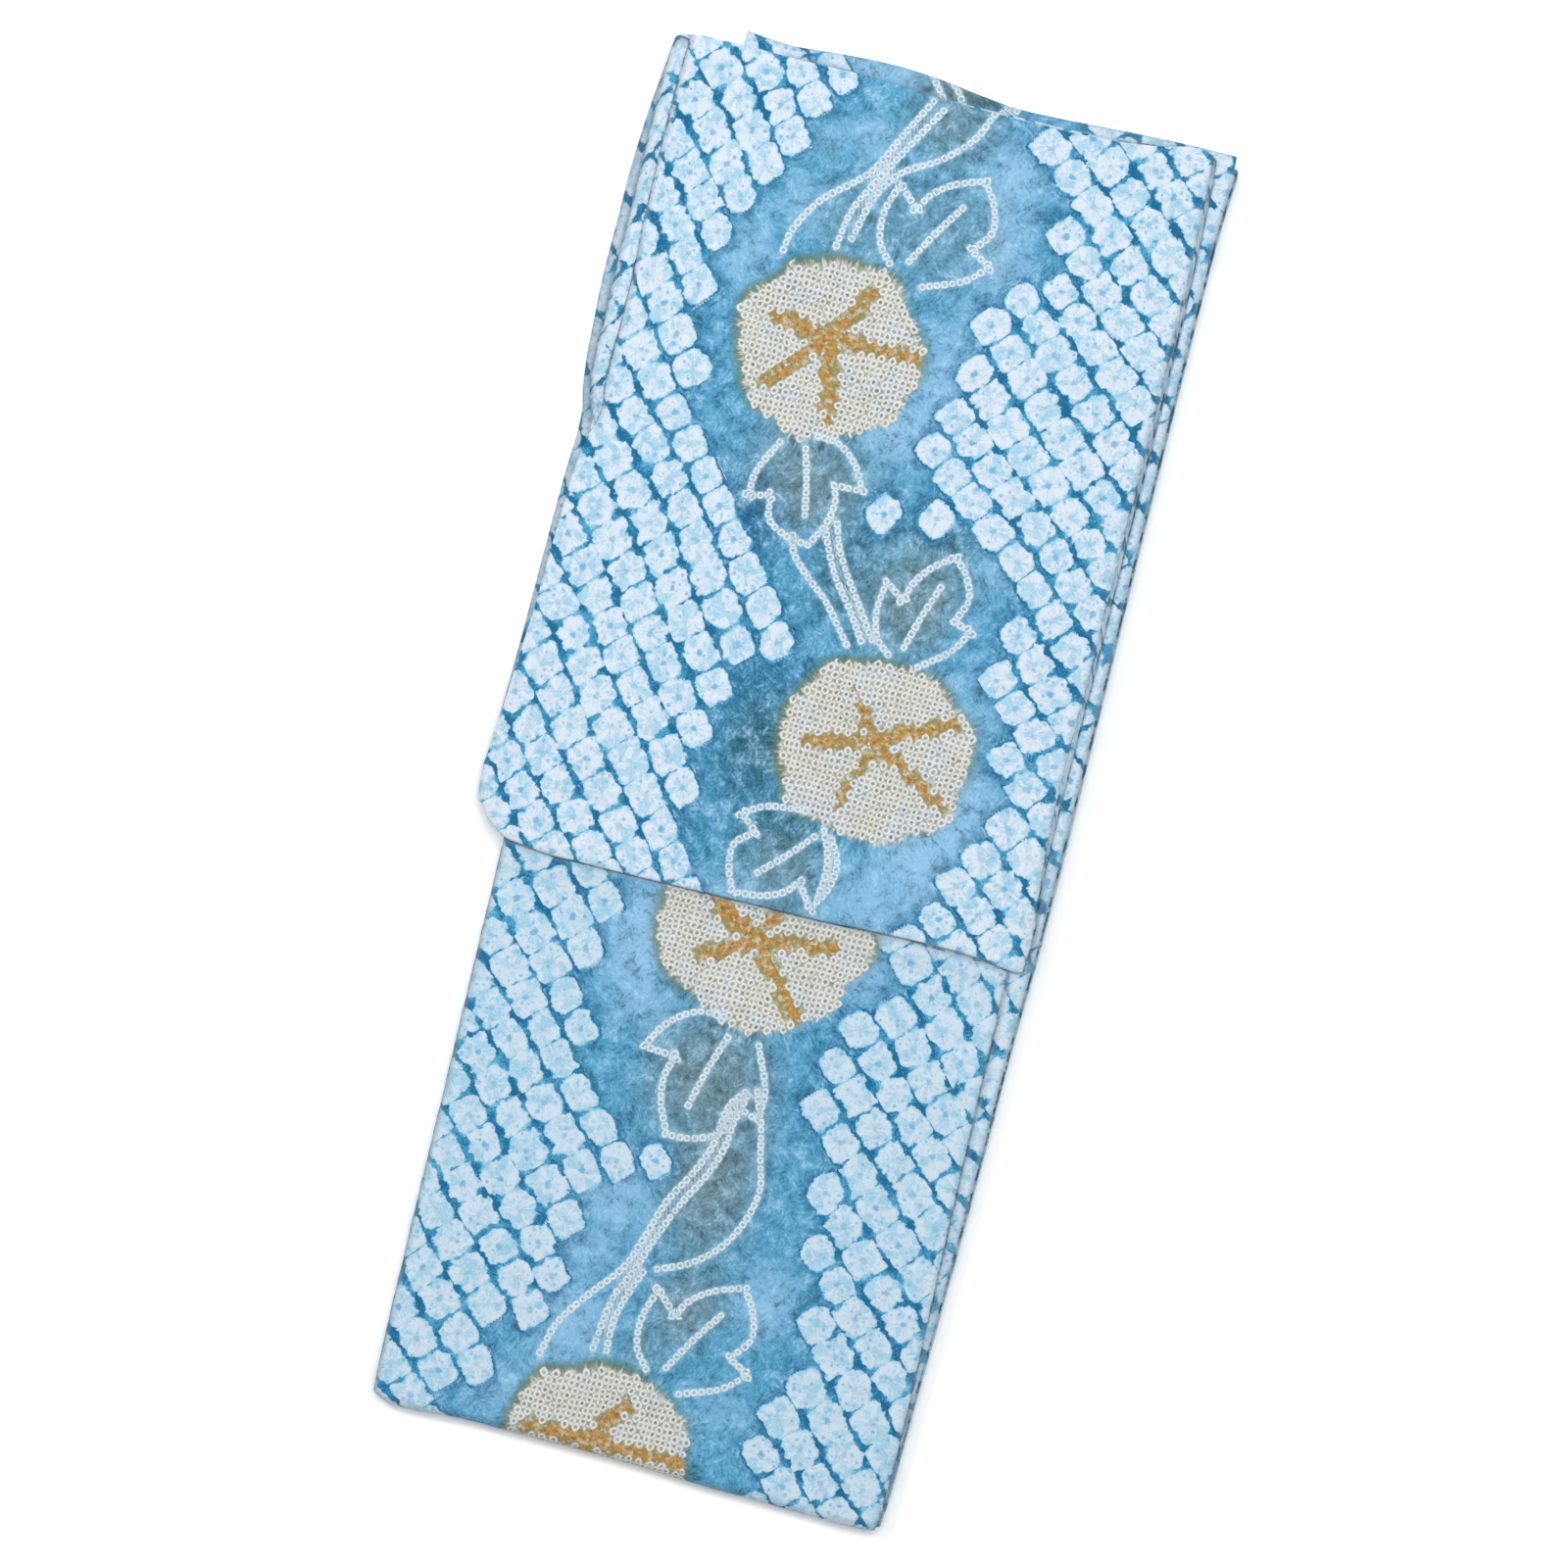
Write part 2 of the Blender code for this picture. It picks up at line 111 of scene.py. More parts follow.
def follow(place, knots, values):
    """A smooth line through a table's values."""
    slopes = np.gradient(values, knots)
    place = np.clip(place, knots[0], knots[-1])
    spot = np.clip(np.searchsorted(knots, place) - 1, 0, len(knots) - 2)
    width = knots[spot + 1] - knots[spot]
    t = (place - knots[spot]) / width
    rise = values[spot + 1] - values[spot]
    first, last = slopes[spot] * width, slopes[spot + 1] * width
    return values[spot] + t * first + t * t * (3 * rise - 2 * first - last) \
        + t ** 3 * (first + last - 2 * rise)


def smooth_step(value, start, end):
    part = np.clip((value - start) / (end - start), 0.0, 1.0)
    return part * part * (3.0 - 2.0 * part)


def side(y, column):
    return follow(y, BODY_SIDES["y"], BODY_SIDES[column])


def waist_fold(x):
    return follow(x, WAIST_FOLD["x"], WAIST_FOLD["y"])


def lift(y):
    """Height of the body's underside above the floor: it climbs onto the lower sleeve."""
    return SLEEVE_LIFT * smooth_step(y, -100.0, -76.0)


def shoulder_sag(y):
    return 0.015 * np.maximum(0.0, y - 404.0) ** 2


def quarter_drop(reach, across, deep):
    """Depth of an elliptical edge at a distance reach past the start of its rounding."""
    part = np.clip(reach / across, 0.0, 0.999)
    return deep * (1.0 - np.sqrt(1.0 - part * part))


def edge_round(place, *names):
    return (np.interp(place, EDGE_ROUND["place"], EDGE_ROUND[name]) for name in names)


def right_drop(x, y, place=0):
    """Depth of the body's outer face below its flat, near its right edge.  place runs from 0 on
    the top to 1 at the waist fold's nose and 2 underneath."""
    across, deep = edge_round(place, "across_right", "deep_right")
    return quarter_drop(x - (side(y, "right") + RIGHT_PAST - across), across, deep)


def edge_depth(x, y, place):
    """The same, near both long edges."""
    across, deep = edge_round(place, "across", "deep")
    return quarter_drop(side(y, "left") + across - x, across, deep) + right_drop(x, y, place)


def body_face(x, y, kind, depth):
    """Height of a ply of the body that lies depth below its outer face: kind is top or under."""
    if kind == "top":
        return lift(y) + BODY_HEIGHT - shoulder_sag(y) - edge_depth(x, y, 0) - depth
    return lift(y) + edge_depth(x, y, 2) + depth


def steps(start, end, size):
    """Evenly spaced places from start to end, about size apart."""
    return np.linspace(start, end, max(2, int(round(abs(end - start) / size)) + 1))


def body_rows(top_end, hidden_until, under_end, turns):
    """Rows of a ply of the body as (kind, place): the visible run is finely divided."""
    rows = []
    if hidden_until < top_end:
        rows += [("top", y) for y in steps(top_end, hidden_until, COARSE)[:-1]]
    rows += [("top", y) for y in steps(hidden_until, WAIST_MIDDLE + NOSE, FINE)]
    rows += [("waist", turn) for turn in np.linspace(0.0, 1.0, turns)[1:-1]]
    return rows + [("under", y) for y in steps(WAIST_MIDDLE + NOSE, under_end, COARSE)]


def body_grid(rows, columns_at, depth):
    """Points and cloth places of a ply of the body, row by row down and round the waist."""
    points, places = [], []
    for kind, place in rows:
        y = WAIST_MIDDLE if kind == "waist" else place
        x = columns_at(np.array([y]))
        fold = waist_fold(x)
        if kind == "waist":
            angle = math.pi * (0.5 - place)
            radius = NOSE - depth - edge_depth(x, fold, 2.0 * place)
            ys = fold + NOSE - radius * math.cos(angle)
            zs = NOSE + radius * math.sin(angle)
            v = fold + NOSE - place * math.pi * NOSE
        else:
            slant = 1.0 - smooth_step(place, WAIST_MIDDLE + NOSE, WAIST_STRAIGHT)
            ys = place + (fold - WAIST_MIDDLE) * slant
            zs = body_face(x, ys, kind, depth)
            v = ys if kind == "top" else 2.0 * (fold + NOSE) - ys - math.pi * NOSE
        points.append(stack(x, ys, zs))
        places.append(stack(x, v))
    return np.array(points), np.array(places)


# ---- how the cloth is tied and dyed.  Places are (x, y) on the flat cloth.

SURFACE = 0.80  # share of light that shows as full white under the lamps


def colour(red, green, blue):
    """A dye's colour from its screen values, 0 to 255."""
    part = np.array([red, green, blue]) / 255.0
    light = np.where(part <= 0.04045, part / 12.92, ((part + 0.055) / 1.055) ** 2.4)
    return tuple(float(value) for value in light * SURFACE)


DEEP = colour(22, 104, 148)
BLUE = colour(82, 160, 200)
SKY = colour(142, 194, 230)
GREY = colour(108, 140, 152)
TEAL = colour(48, 98, 112)
OCHRE = colour(150, 124, 70)
POOL_COLOURS = [DEEP, BLUE, SKY, GREY, TEAL, OCHRE]
deep, blue, sky, grey, teal, ochre = range(6)

# A leaf with three lobes, its stalk at (0, 0) and its tip one unit up: outline and midrib.
LEAF = [(-0.17, 0.02), (-0.34, 0.11), (-0.46, 0.31), (-0.50, 0.56), (-0.27, 0.48), (-0.26, 0.64),
        (-0.17, 0.82), (0.0, 1.0), (0.17, 0.90), (0.30, 0.73), (0.27, 0.51), (0.46, 0.50),
        (0.37, 0.28), (0.15, 0.04)]
LEAF_CORNERS = (0, 3, 4, 7, 10, 11, 13)
MIDRIB = [(-0.06, 0.13), (-0.04, 0.42), (0.0, 0.72)]


def between(points, corners=()):
    """A smooth line through points, sharp at the corners."""
    points = np.array(points, dtype=float)
    cuts = sorted({0, len(points) - 1, *corners})
    line = []
    for start, end in zip(cuts, cuts[1:]):
        run = points[start:end + 1]
        place = np.arange(len(run), dtype=float)
        fine = np.linspace(0, len(run) - 1, 12 * (len(run) - 1) + 1)
        if len(run) == 2:
            new = run[0] + np.outer(fine, run[1] - run[0])
        else:
            new = stack(*(follow(fine, place, run[:, k]) for k in (0, 1)))
        line.append(new if not line else new[1:])
    return np.concatenate(line)


KNOT_PITCH = 4.5  # from knot to knot along a stem or a leaf's outline
TIE_PITCH = 21.0  # from tied square to tied square, about
TINY = 1e-6
FAR = 99.0  # away from every square, vein, knot and edge


def knots_along(line):
    """Middles, directions and running numbers of the small knots tied along a line."""
    gaps = np.hypot(*np.diff(line, axis=0).T)
    run = np.concatenate([[0.0], np.cumsum(gaps)])
    count = max(1, int(round(run[-1] / KNOT_PITCH)))
    at = (np.arange(count) + 0.5) * run[-1] / count
    spots, ahead, behind = (stack(*(np.interp(place, run, line[:, k]) for k in (0, 1)))
                            for place in (at, at + 1.0, at - 1.0))
    way = ahead - behind
    way /= np.maximum(np.hypot(*way.T), TINY)[:, None]
    return spots, way


def leaf_lines(x, y, turn, size, wide):
    """Outline and midrib of a leaf whose stalk is at (x, y) and whose tip points along turn."""
    c, s = heading(turn - 90)
    lines = []
    for shape, corners in ((LEAF, LEAF_CORNERS), (MIDRIB, ())):
        flat = between(shape, corners) * [wide * size, size]
        lines.append(stack(x + c * flat[:, 0] - s * flat[:, 1],
                           y + s * flat[:, 0] + c * flat[:, 1]))
    return lines


def block(at, along, across, side=0, limit=None, left_out=()):
    """Tied squares: where one of them is, the steps along and across their rows, the side of the
    vine they lie on (0 for all over), the line they end at and places where one is missing."""
    return {"at": at, "along": along, "across": across, "side": side, "left_out": left_out,
            "limit": limit and table("y x", limit)}


# The sleeve's cloth and the body's cloth carry the same vine, each in its own run.
# flowers: x, y, half width, half height, and x and y of the heart that the veins start from
# veins: number of the flower, turn, length, width
# leaves: x and y of the stalk, turn, size, width for its size
# creases: x, y, turn, length, width, rise
# pools of dye: x, y, half width, half height, colour, strength
SLEEVE_PLAN = {
    "flowers": [
        (-34.5, 251.0, 55.5, 54.0, -35.4, 258.0),
        (47.3, 25.5, 58.5, 54.5, 44.7, 32.0),
    ],
    "veins": [
        (0, 60, 37, 8.5), (0, 0, 54, 8.0), (0, 172, 34, 11.0), (0, 228, 47, 9.0), (0, 281, 50, 9.5),
        (1, 122, 31, 6.5), (1, 194, 40, 9.0), (1, 25, 49, 9.5), (1, 329, 55, 9.0),
        (1, 255, 46, 4.0),
    ],
    "leaves": [
        (-1.2, 302.0, 64, 75, 1.0),
        (-41.0, 197.0, -71, 65, 1.08),
        (51.0, 80.0, 77, 71, 0.85),
        (26.0, -22.0, -128, 66, 1.1),
    ],
    "stems": [
        [(-9, 408), (-22, 384), (-36, 358), (-60, 336), (-72, 316), (-75, 302)],
        [(-2, 404), (-15, 382), (-32, 352), (-41, 334), (-45, 312)],
        [(28, 409), (20, 392), (4, 376), (-18, 362), (-30, 344), (-37, 318)],
        [(-12, 148), (-8, 138), (0, 122), (12, 106), (24, 88)],
        [(-6, 152), (-1, 138), (7, 124), (18, 108), (30, 90)],
        [(-30, 139), (-26, 128), (-14, 116), (-2, 106), (8, 94), (16, 84)],
        [(29, -26), (34, -38), (36, -50), (35, -66)],
    ],
    "creases": [
        (-60, 163, 8, 190, 7, 0.45), (70, 150, 14, 150, 9, -0.22), (-118, -20, 48, 130, 6, 0.40),
        (-20, 352, -12, 210, 8, 0.35), (92, 300, 82, 190, 6, 0.30), (128, 70, 88, 260, 7, 0.35),
        (30, -40, -6, 180, 8, 0.35), (-130, 300, 84, 170, 7, 0.30), (110, -30, 38, 90, 6, 0.30),
        (-20, 640, 10, 220, 9, -0.25), (60, 500, -14, 180, 8, -0.25),
    ],
    "pools": [
        (-40, 400, 40, 30, blue, 1.0), (-38, 380, 16, 14, sky, 0.7), (-66, 372, 14, 12, sky, 0.5),
        (8, 400, 30, 26, grey, 0.8), (48, 374, 18, 24, sky, 1.0), (52, 330, 18, 26, sky, 0.8),
        (10, 335, 42, 40, grey, 0.5), (-42, 330, 26, 26, grey, 0.45), (66, 402, 12, 12, deep, 0.6),
        (-96, 296, 18, 20, sky, 0.7), (34, 252, 18, 36, sky, 0.8), (16, 212, 30, 18, sky, 1.0),
        (-48, 194, 20, 16, sky, 0.7), (-70, 330, 16, 16, sky, 0.6),
        (-80, 200, 24, 24, blue, 0.8), (-28, 170, 40, 34, grey, 1.0), (-62, 136, 24, 30, deep, 0.9),
        (-20, 120, 22, 22, blue, 0.7), (4, 124, 20, 30, teal, 0.6), (58, 158, 26, 16, teal, 0.5),
        (50, 118, 34, 36, grey, 1.0), (92, 146, 12, 12, sky, 0.7), (86, 106, 14, 20, blue, 0.8),
        (-26, 56, 24, 40, deep, 0.6), (-22, 12, 22, 30, teal, 0.8), (-38, -16, 30, 24, deep, 0.35),
        (100, 66, 20, 26, sky, 0.4), (92, -34, 34, 34, sky, 1.0), (106, 4, 20, 30, sky, 0.9),
        (4, -34, 26, 18, teal, 0.7), (12, -58, 30, 24, grey, 0.8), (-56, -56, 34, 22, deep, 0.2),
        (-20, -74, 20, 12, sky, 0.5), (60, -64, 22, 20, sky, 0.7),
    ],
    "blocks": [
        block((-146.3, 127.5), (12.7, -16.6), (15.8, 15.0), -1, [
            (-90, -30), (-70, -38), (-60, -48), (-45, -58), (-30, -58), (-20, -50), (-8, -42),
            (8, -42), (20, -34), (40, -40), (55, -34), (70, -20), (82, -8), (95, -8), (108, -22),
            (118, -46), (130, -62), (145, -70), (165, -84), (190, -88), (205, -92), (225, -100),
            (250, -104), (280, -100), (300, -98), (325, -84), (350, -76), (375, -74), (390, -62),
            (402, -48), (420, -44),
        ]),
        block((95.0, 97.0), (15.0, -13.4), (15.6, 16.4), 1, [
            (-90, 86), (-70, 82), (-55, 88), (-40, 98), (-20, 110), (0, 118), (25, 120), (45, 118),
            (60, 114), (78, 104), (92, 88), (108, 90), (125, 94), (140, 88), (150, 66), (158, 30),
            (166, 10), (175, 22), (190, 26), (205, 26), (215, 34), (230, 42), (245, 40), (262, 38),
            (282, 40), (298, 56), (315, 64), (335, 72), (355, 66), (375, 64), (392, 54), (420, 46),
        ], left_out=[(36, 181), (67, 155)]),
    ],
}
BODY_PLAN = {
    "flowers": [
        (9.3, -91.5, 63.5, 60.5, 4.5, -99.3),
        (-17.0, -421.5, 57.5, 57.5, -21.8, -409.9),
    ],
    "veins": [
        (0, 145, 58, 12.0), (0, 61, 26, 8.0), (0, 8, 46, 8.5), (0, 209, 34, 10.0),
        (0, 311, 54, 9.5),
        (1, 55, 33, 9.5), (1, 181, 38, 10.0), (1, 358, 58, 9.0), (1, 270, 30, 10.0),
    ],
    "leaves": [
        (11.0, -151.5, -113, 78, -1.08),
        (12.3, -368.5, 63, 76, 1.0),
    ],
    "stems": [
        [(20, -188), (12, -200), (9, -222), (2, -240), (-10, -262), (-18, -286), (-26, -306),
         (-42, -326), (-56, -346), (-62, -366)],
        [(22, -190), (18, -206), (16, -222), (10, -240), (-2, -262), (-12, -286), (-20, -308),
         (-28, -326), (-32, -356)],
        [(-14, -306), (-20, -322), (-24, -338), (-24, -356)],
        [(27, -186), (34, -206), (38, -224), (42, -242), (38, -262), (28, -280), (12, -294),
         (-6, -302)],
    ],
    "creases": [
        (-70, -250, 10, 150, 8, 0.40), (60, -290, -9, 170, 9, 0.35), (118, -210, 86, 240, 6, 0.35),
        (-120, -330, 78, 150, 7, 0.35), (-30, -376, 4, 200, 7, 0.35), (10, -150, 12, 160, 9, 0.30),
        (-40, -640, 8, 200, 9, -0.30), (70, -560, -12, 180, 8, -0.25), (0, -760, 84, 220, 8, -0.25),
    ],
    "pools": [
        (-62, -114, 22, 40, sky, 1.0), (74, -92, 18, 34, sky, 0.7), (-50, -152, 20, 16, sky, 0.6),
        (-4, -184, 42, 40, grey, 1.0), (-62, -190, 20, 30, blue, 0.8),
        (56, -170, 16, 30, blue, 0.8),
        (14, -244, 30, 50, grey, 1.0), (-38, -262, 22, 26, sky, 0.8), (-50, -300, 20, 18, sky, 0.6),
        (-50, -346, 24, 26, sky, 0.9), (18, -322, 26, 26, grey, 0.9), (46, -346, 20, 22, blue, 0.8),
        (62, -306, 16, 22, sky, 0.8), (60, -240, 14, 30, blue, 0.8), (50, -378, 20, 18, sky, 0.4),
        (44, -404, 26, 18, blue, 0.9), (-80, -392, 22, 22, sky, 0.5), (-4, -352, 14, 16, grey, 0.5),
    ],
    "blocks": [
        block((-110.0, -238.0), (14.4, -16.4), (15.6, 14.6), -1, [
            (-440, -104), (-415, -104), (-400, -98), (-380, -88), (-360, -76), (-340, -62),
            (-322, -58), (-308, -68), (-295, -62), (-275, -56), (-262, -46), (-250, -24),
            (-238, -14), (-230, -46), (-220, -66), (-200, -74), (-180, -74), (-160, -74),
            (-140, -80), (-122, -84), (-110, -74), (-95, -76), (-80, -84), (-60, -90),
        ]),
        block((66.0, -222.0), (15.4, -15.6), (15.2, 16.6), 1, [
            (-440, 72), (-412, 70), (-400, 62), (-382, 66), (-368, 76), (-350, 88), (-330, 82),
            (-312, 74), (-292, 84), (-272, 72), (-256, 68), (-240, 74), (-225, 58), (-210, 62),
            (-190, 60), (-170, 56), (-150, 58), (-138, 66), (-120, 82), (-100, 80), (-80, 74),
            (-60, 72),
        ]),
    ],
}
# What stays hidden or shows as an edge is tied all over, with no vine.
PLAIN_PLAN = {
    "flowers": [], "veins": [], "leaves": [], "stems": [], "creases": [], "pools": [], "edges": [],
    "blocks": [block((3.0, 4.0), (14.2, -15.6), (15.6, 15.4))],
}


def sway(u, v):
    """How far the hand-tied rows wander off their straight lines."""
    across = 1.7 * np.sin(v / 31.0 + 0.8) + 1.2 * np.sin(u / 17.0 - v / 43.0 + 2.0)
    along = 1.6 * np.sin(u / 27.0 + 1.9) + 1.2 * np.sin(v / 19.0 + u / 37.0)
    return across, along


CHAIN_REACH = 12.0  # places further from a row of knots are not measured
# Each row of tied squares starts at its own place: two waves over the row's number.
STAGGER = [(0.21, 2.3, 0.6), (0.12, 5.1, 0.0)]


def stagger(row):
    return sum(size * np.sin(wave * row + start) for size, wave, start in STAGGER)


def lattice(u, v, block):
    """Running numbers of the tied squares along and across the rows."""
    (ax, ay), (bx, by) = block["along"], block["across"]
    across, along = sway(u, v)
    x, y = u + across - block["at"][0], v + along - block["at"][1]
    span = ax * by - ay * bx
    return (x * by - y * bx) / span + 0.5, (y * ax - x * ay) / span + 0.5


def limit_of(block, y):
    return np.interp(y, block["limit"]["y"], block["limit"]["x"])


LIMIT_CLEAR = 6.0  # least distance of a square's middle from its block's limit
LEFT_OUT_REACH = 8.0


def tied_off(number, row, block):
    """Whether a square of the lattice belongs to its block."""
    if not block["side"]:
        return np.ones(len(row), dtype=bool)
    (ax, ay), (bx, by) = block["along"], block["across"]
    number = number - stagger(row)
    x, y = block["at"][0] + number * ax + row * bx, block["at"][1] + number * ay + row * by
    tied = block["side"] * (x - limit_of(block, y)) > LIMIT_CLEAR
    for left_x, left_y in block["left_out"]:
        tied &= np.hypot(x - left_x, y - left_y) > LEFT_OUT_REACH
    return tied


def near_squares(u, v, block):
    """Distance from each place to the middle of the nearest tied square."""
    (ax, ay), (bx, by) = block["along"], block["across"]
    a, b = lattice(u, v, block)
    nearest = np.full(len(u), FAR)
    for down in (-1, 0, 1):
        row = np.floor(b) + down
        for over in (-1, 0, 1):
            number = np.floor(a + stagger(row)) + over
            off_a, off_b = number + 0.5 - stagger(row) - a, row + 0.5 - b
            reach = np.hypot(off_a * ax + off_b * bx, off_a * ay + off_b * by)
            nearest = np.where(tied_off(number, row, block), np.minimum(nearest, reach), nearest)
    return nearest


def flower_depth(u, v, x, y, wide, tall):
    """How far inside a flower's edge a place lies, in millimetres."""
    dx, dy = u - x, (v - y) * wide / tall
    angle = np.arctan2(dy, dx)
    edge = wide * (1 + 0.026 * np.sin(4 * angle + 0.1 * x) + 0.026 * np.sin(7 * angle + 0.2 * y)
                   + 0.014 * np.sin(11 * angle + 0.3 * x))
    return edge - np.hypot(dx, dy)


def along_straight(u, v, x, y, dx, dy, length):
    """How far along a straight run from (x, y) each place lies, and its offset from the run."""
    run = np.clip((u - x) * dx + (v - y) * dy, 0.0, length)
    return run, u - x - run * dx, v - y - run * dy


def keep_nearer(store, value, column):
    """Put new rows over the stored ones wherever their distance, in a column, is smaller."""
    better = value[:, column] < store[:, column]
    store[better] = value[better]


def dye(u, v, plan):
    """What the shader needs to know at each place of a cloth, as named arrays: the dyer's marks,
    and the edge lines along which shade is painted.
    """
    count = len(u)
    ties = np.zeros((count, 3))
    for block in plan["blocks"]:
        a, b = lattice(u, v, block)
        row = np.floor(b)
        number = np.floor(a + stagger(row))
        tied = tied_off(number, row, block)
        # a square on the rim of its block stands clear of the others
        amid = np.all([tied_off(number + one, row + two, block)
                       for one, two in ((-1, 0), (1, 0), (0, -1), (0, 1))], axis=0)
        value = stack(a, b, tied * (0.6 + 0.4 * amid))
        if block["side"]:
            middle = 0.5 * sum(limit_of(each, v) for each in plan["blocks"])
            near = block["side"] * (u - middle) > 0
            ties[near] = value[near]
        else:
            ties[:] = value
    ground = np.tile(np.array(BLUE), (count, 1))
    for x, y, wide, tall, number, strength in plan["pools"]:
        reach = ((u - x) / wide) ** 2 + ((v - y) / tall) ** 2
        part = (strength * np.exp(-reach ** 1.4))[:, None]
        ground = ground * (1 - part) + np.array(POOL_COLOURS[number]) * part
    # the dye stands deepest beside the tied squares
    for block in plan["blocks"]:
        part = 0.55 * smooth_step(-near_squares(u, v, block), -20.0, -10.0)[:, None]
        ground = ground * (1 - part) + np.array(DEEP) * part

    bloom = np.tile(np.array([0.0, 0.0, -FAR]), (count, 1))
    vein = np.tile(np.array([FAR, 0.0, 0.0]), (count, 1))
    for x, y, wide, tall, _, _ in plan["flowers"]:
        inside = flower_depth(u, v, x, y, wide, tall)
        nearer = inside > bloom[:, 2]
        bloom[nearer] = stack(u - x, v - y, inside)[nearer]
    for flower, turn, length, width in plan["veins"]:
        heart = plan["flowers"][flower][4:]
        run, off_x, off_y = along_straight(u, v, *heart, *heading(turn), length)
        away = np.maximum(np.hypot(off_x, off_y), TINY)
        # a vein is widest at the flower's heart
        reach = away - 0.38 * width * (1 - 0.4 * (run / length) ** 2)
        keep_nearer(vein, stack(reach, off_x / away, off_y / away), 0)

    lines = [between(stem) for stem in plan["stems"]]
    for leaf in plan["leaves"]:
        lines += leaf_lines(*leaf)
    chain = np.tile(np.array([0.0, FAR, FAR]), (count, 1))
    number = 0
    for line in lines:
        spots, way = knots_along(line)
        low, high = spots.min(axis=0) - CHAIN_REACH, spots.max(axis=0) + CHAIN_REACH
        near = np.nonzero((u > low[0]) & (u < high[0]) & (v > low[1]) & (v < high[1]))[0]
        if not len(near):
            continue
        offset = stack(u[near], v[near])[:, None, :] - spots[None]
        which = np.hypot(offset[..., 0], offset[..., 1]).argmin(axis=1)
        off, turn = offset[np.arange(len(near)), which], way[which]
        forward = (off * turn).sum(axis=1)
        sideways = off[:, 0] * turn[:, 1] - off[:, 1] * turn[:, 0]
        past = np.maximum(0.0, np.abs(forward) - 0.55 * KNOT_PITCH)
        nearest = chain[near]
        knot = number + which + forward / KNOT_PITCH
        keep_nearer(nearest, stack(knot, sideways, np.hypot(sideways, past)), 2)
        chain[near] = nearest
        number += len(spots) + 5
    # distance to the nearest edge line along which the shader paints shade and a dark shadow line,
    # the run along it and that line's strength
    rim = np.tile(np.array([FAR, 0.0, 0.0]), (count, 1))
    for line, dark in plan["edges"]:
        line = np.array(line, dtype=float)
        run = 0.0
        for (x, y), (next_x, next_y) in zip(line, line[1:]):
            length = math.hypot(next_x - x, next_y - y)
            way = (next_x - x) / length, (next_y - y) / length
            along, off_x, off_y = along_straight(u, v, x, y, *way, length)
            keep_nearer(rim, stack(np.hypot(off_x, off_y), run + along, np.full(count, dark)), 0)
            run += length
    return {"ground": ground, "ties": ties, "bloom": bloom, "vein": vein, "chain": chain,
            "rim": rim}


RIPPLE_WAVES = 22


def ripple(u, v, shortest, longest, seed):
    """Even, endless unevenness between two wavelengths, from about -1 to 1."""
    chance = np.random.default_rng(seed)
    total = np.zeros_like(u)
    for _ in range(RIPPLE_WAVES):
        wave = math.tau / chance.uniform(shortest, longest)
        turn = chance.uniform(0, math.tau)
        run = wave * (u * math.cos(turn) + v * math.sin(turn))
        total += np.sin(run + chance.uniform(0, math.tau))
    return total / 6.0


def pucker(u, v, marks):
    """Height of the cloth's own relief: peaks at the tied middles, a soft rise along the chains."""
    a, b, tied = marks["ties"].T
    a = a + stagger(np.floor(b))
    fa, fb = a - np.floor(a) - 0.5, b - np.floor(b) - 0.5
    reach = np.hypot(fa, fb) * TIE_PITCH
    height = 0.16 * np.exp(-(reach / 3.0) ** 2) - 0.12 * smooth_step(reach, 8.0, 12.0)
    height = (tied > 0.3) * height
    height += 0.10 * np.exp(-(marks["chain"][:, 2] / 2.6) ** 2)
    return height + 0.10 * ripple(u, v, 5.0, 12.0, 3) + 0.12 * ripple(u, v, 18.0, 60.0, 4)


def creased(u, v, plan):
    """Soft ridges and troughs left by folding, each along its own turn from its middle."""
    height = np.zeros_like(u)
    for x, y, turn, length, width, rise in plan["creases"]:
        c, s = heading(turn)
        run = (u - x) * c + (v - y) * s
        off = (v - y) * c - (u - x) * s + 0.02 * length * np.sin(run / 41.0 + x)
        fade = smooth_step(0.5 * length - np.abs(run), 0.0, 0.3 * length)
        height += rise * np.exp(-(off / width) ** 2) * fade
    return height


def normals_of(points, closed):
    """Normals of a grid of points, all on the same side of it."""
    if closed:
        down = np.roll(points, -1, axis=0) - np.roll(points, 1, axis=0)
    else:
        down = np.gradient(points, axis=0)
    normal = np.cross(np.gradient(points, axis=1), down)
    return normal / np.maximum(np.linalg.norm(normal, axis=-1, keepdims=True), TINY)


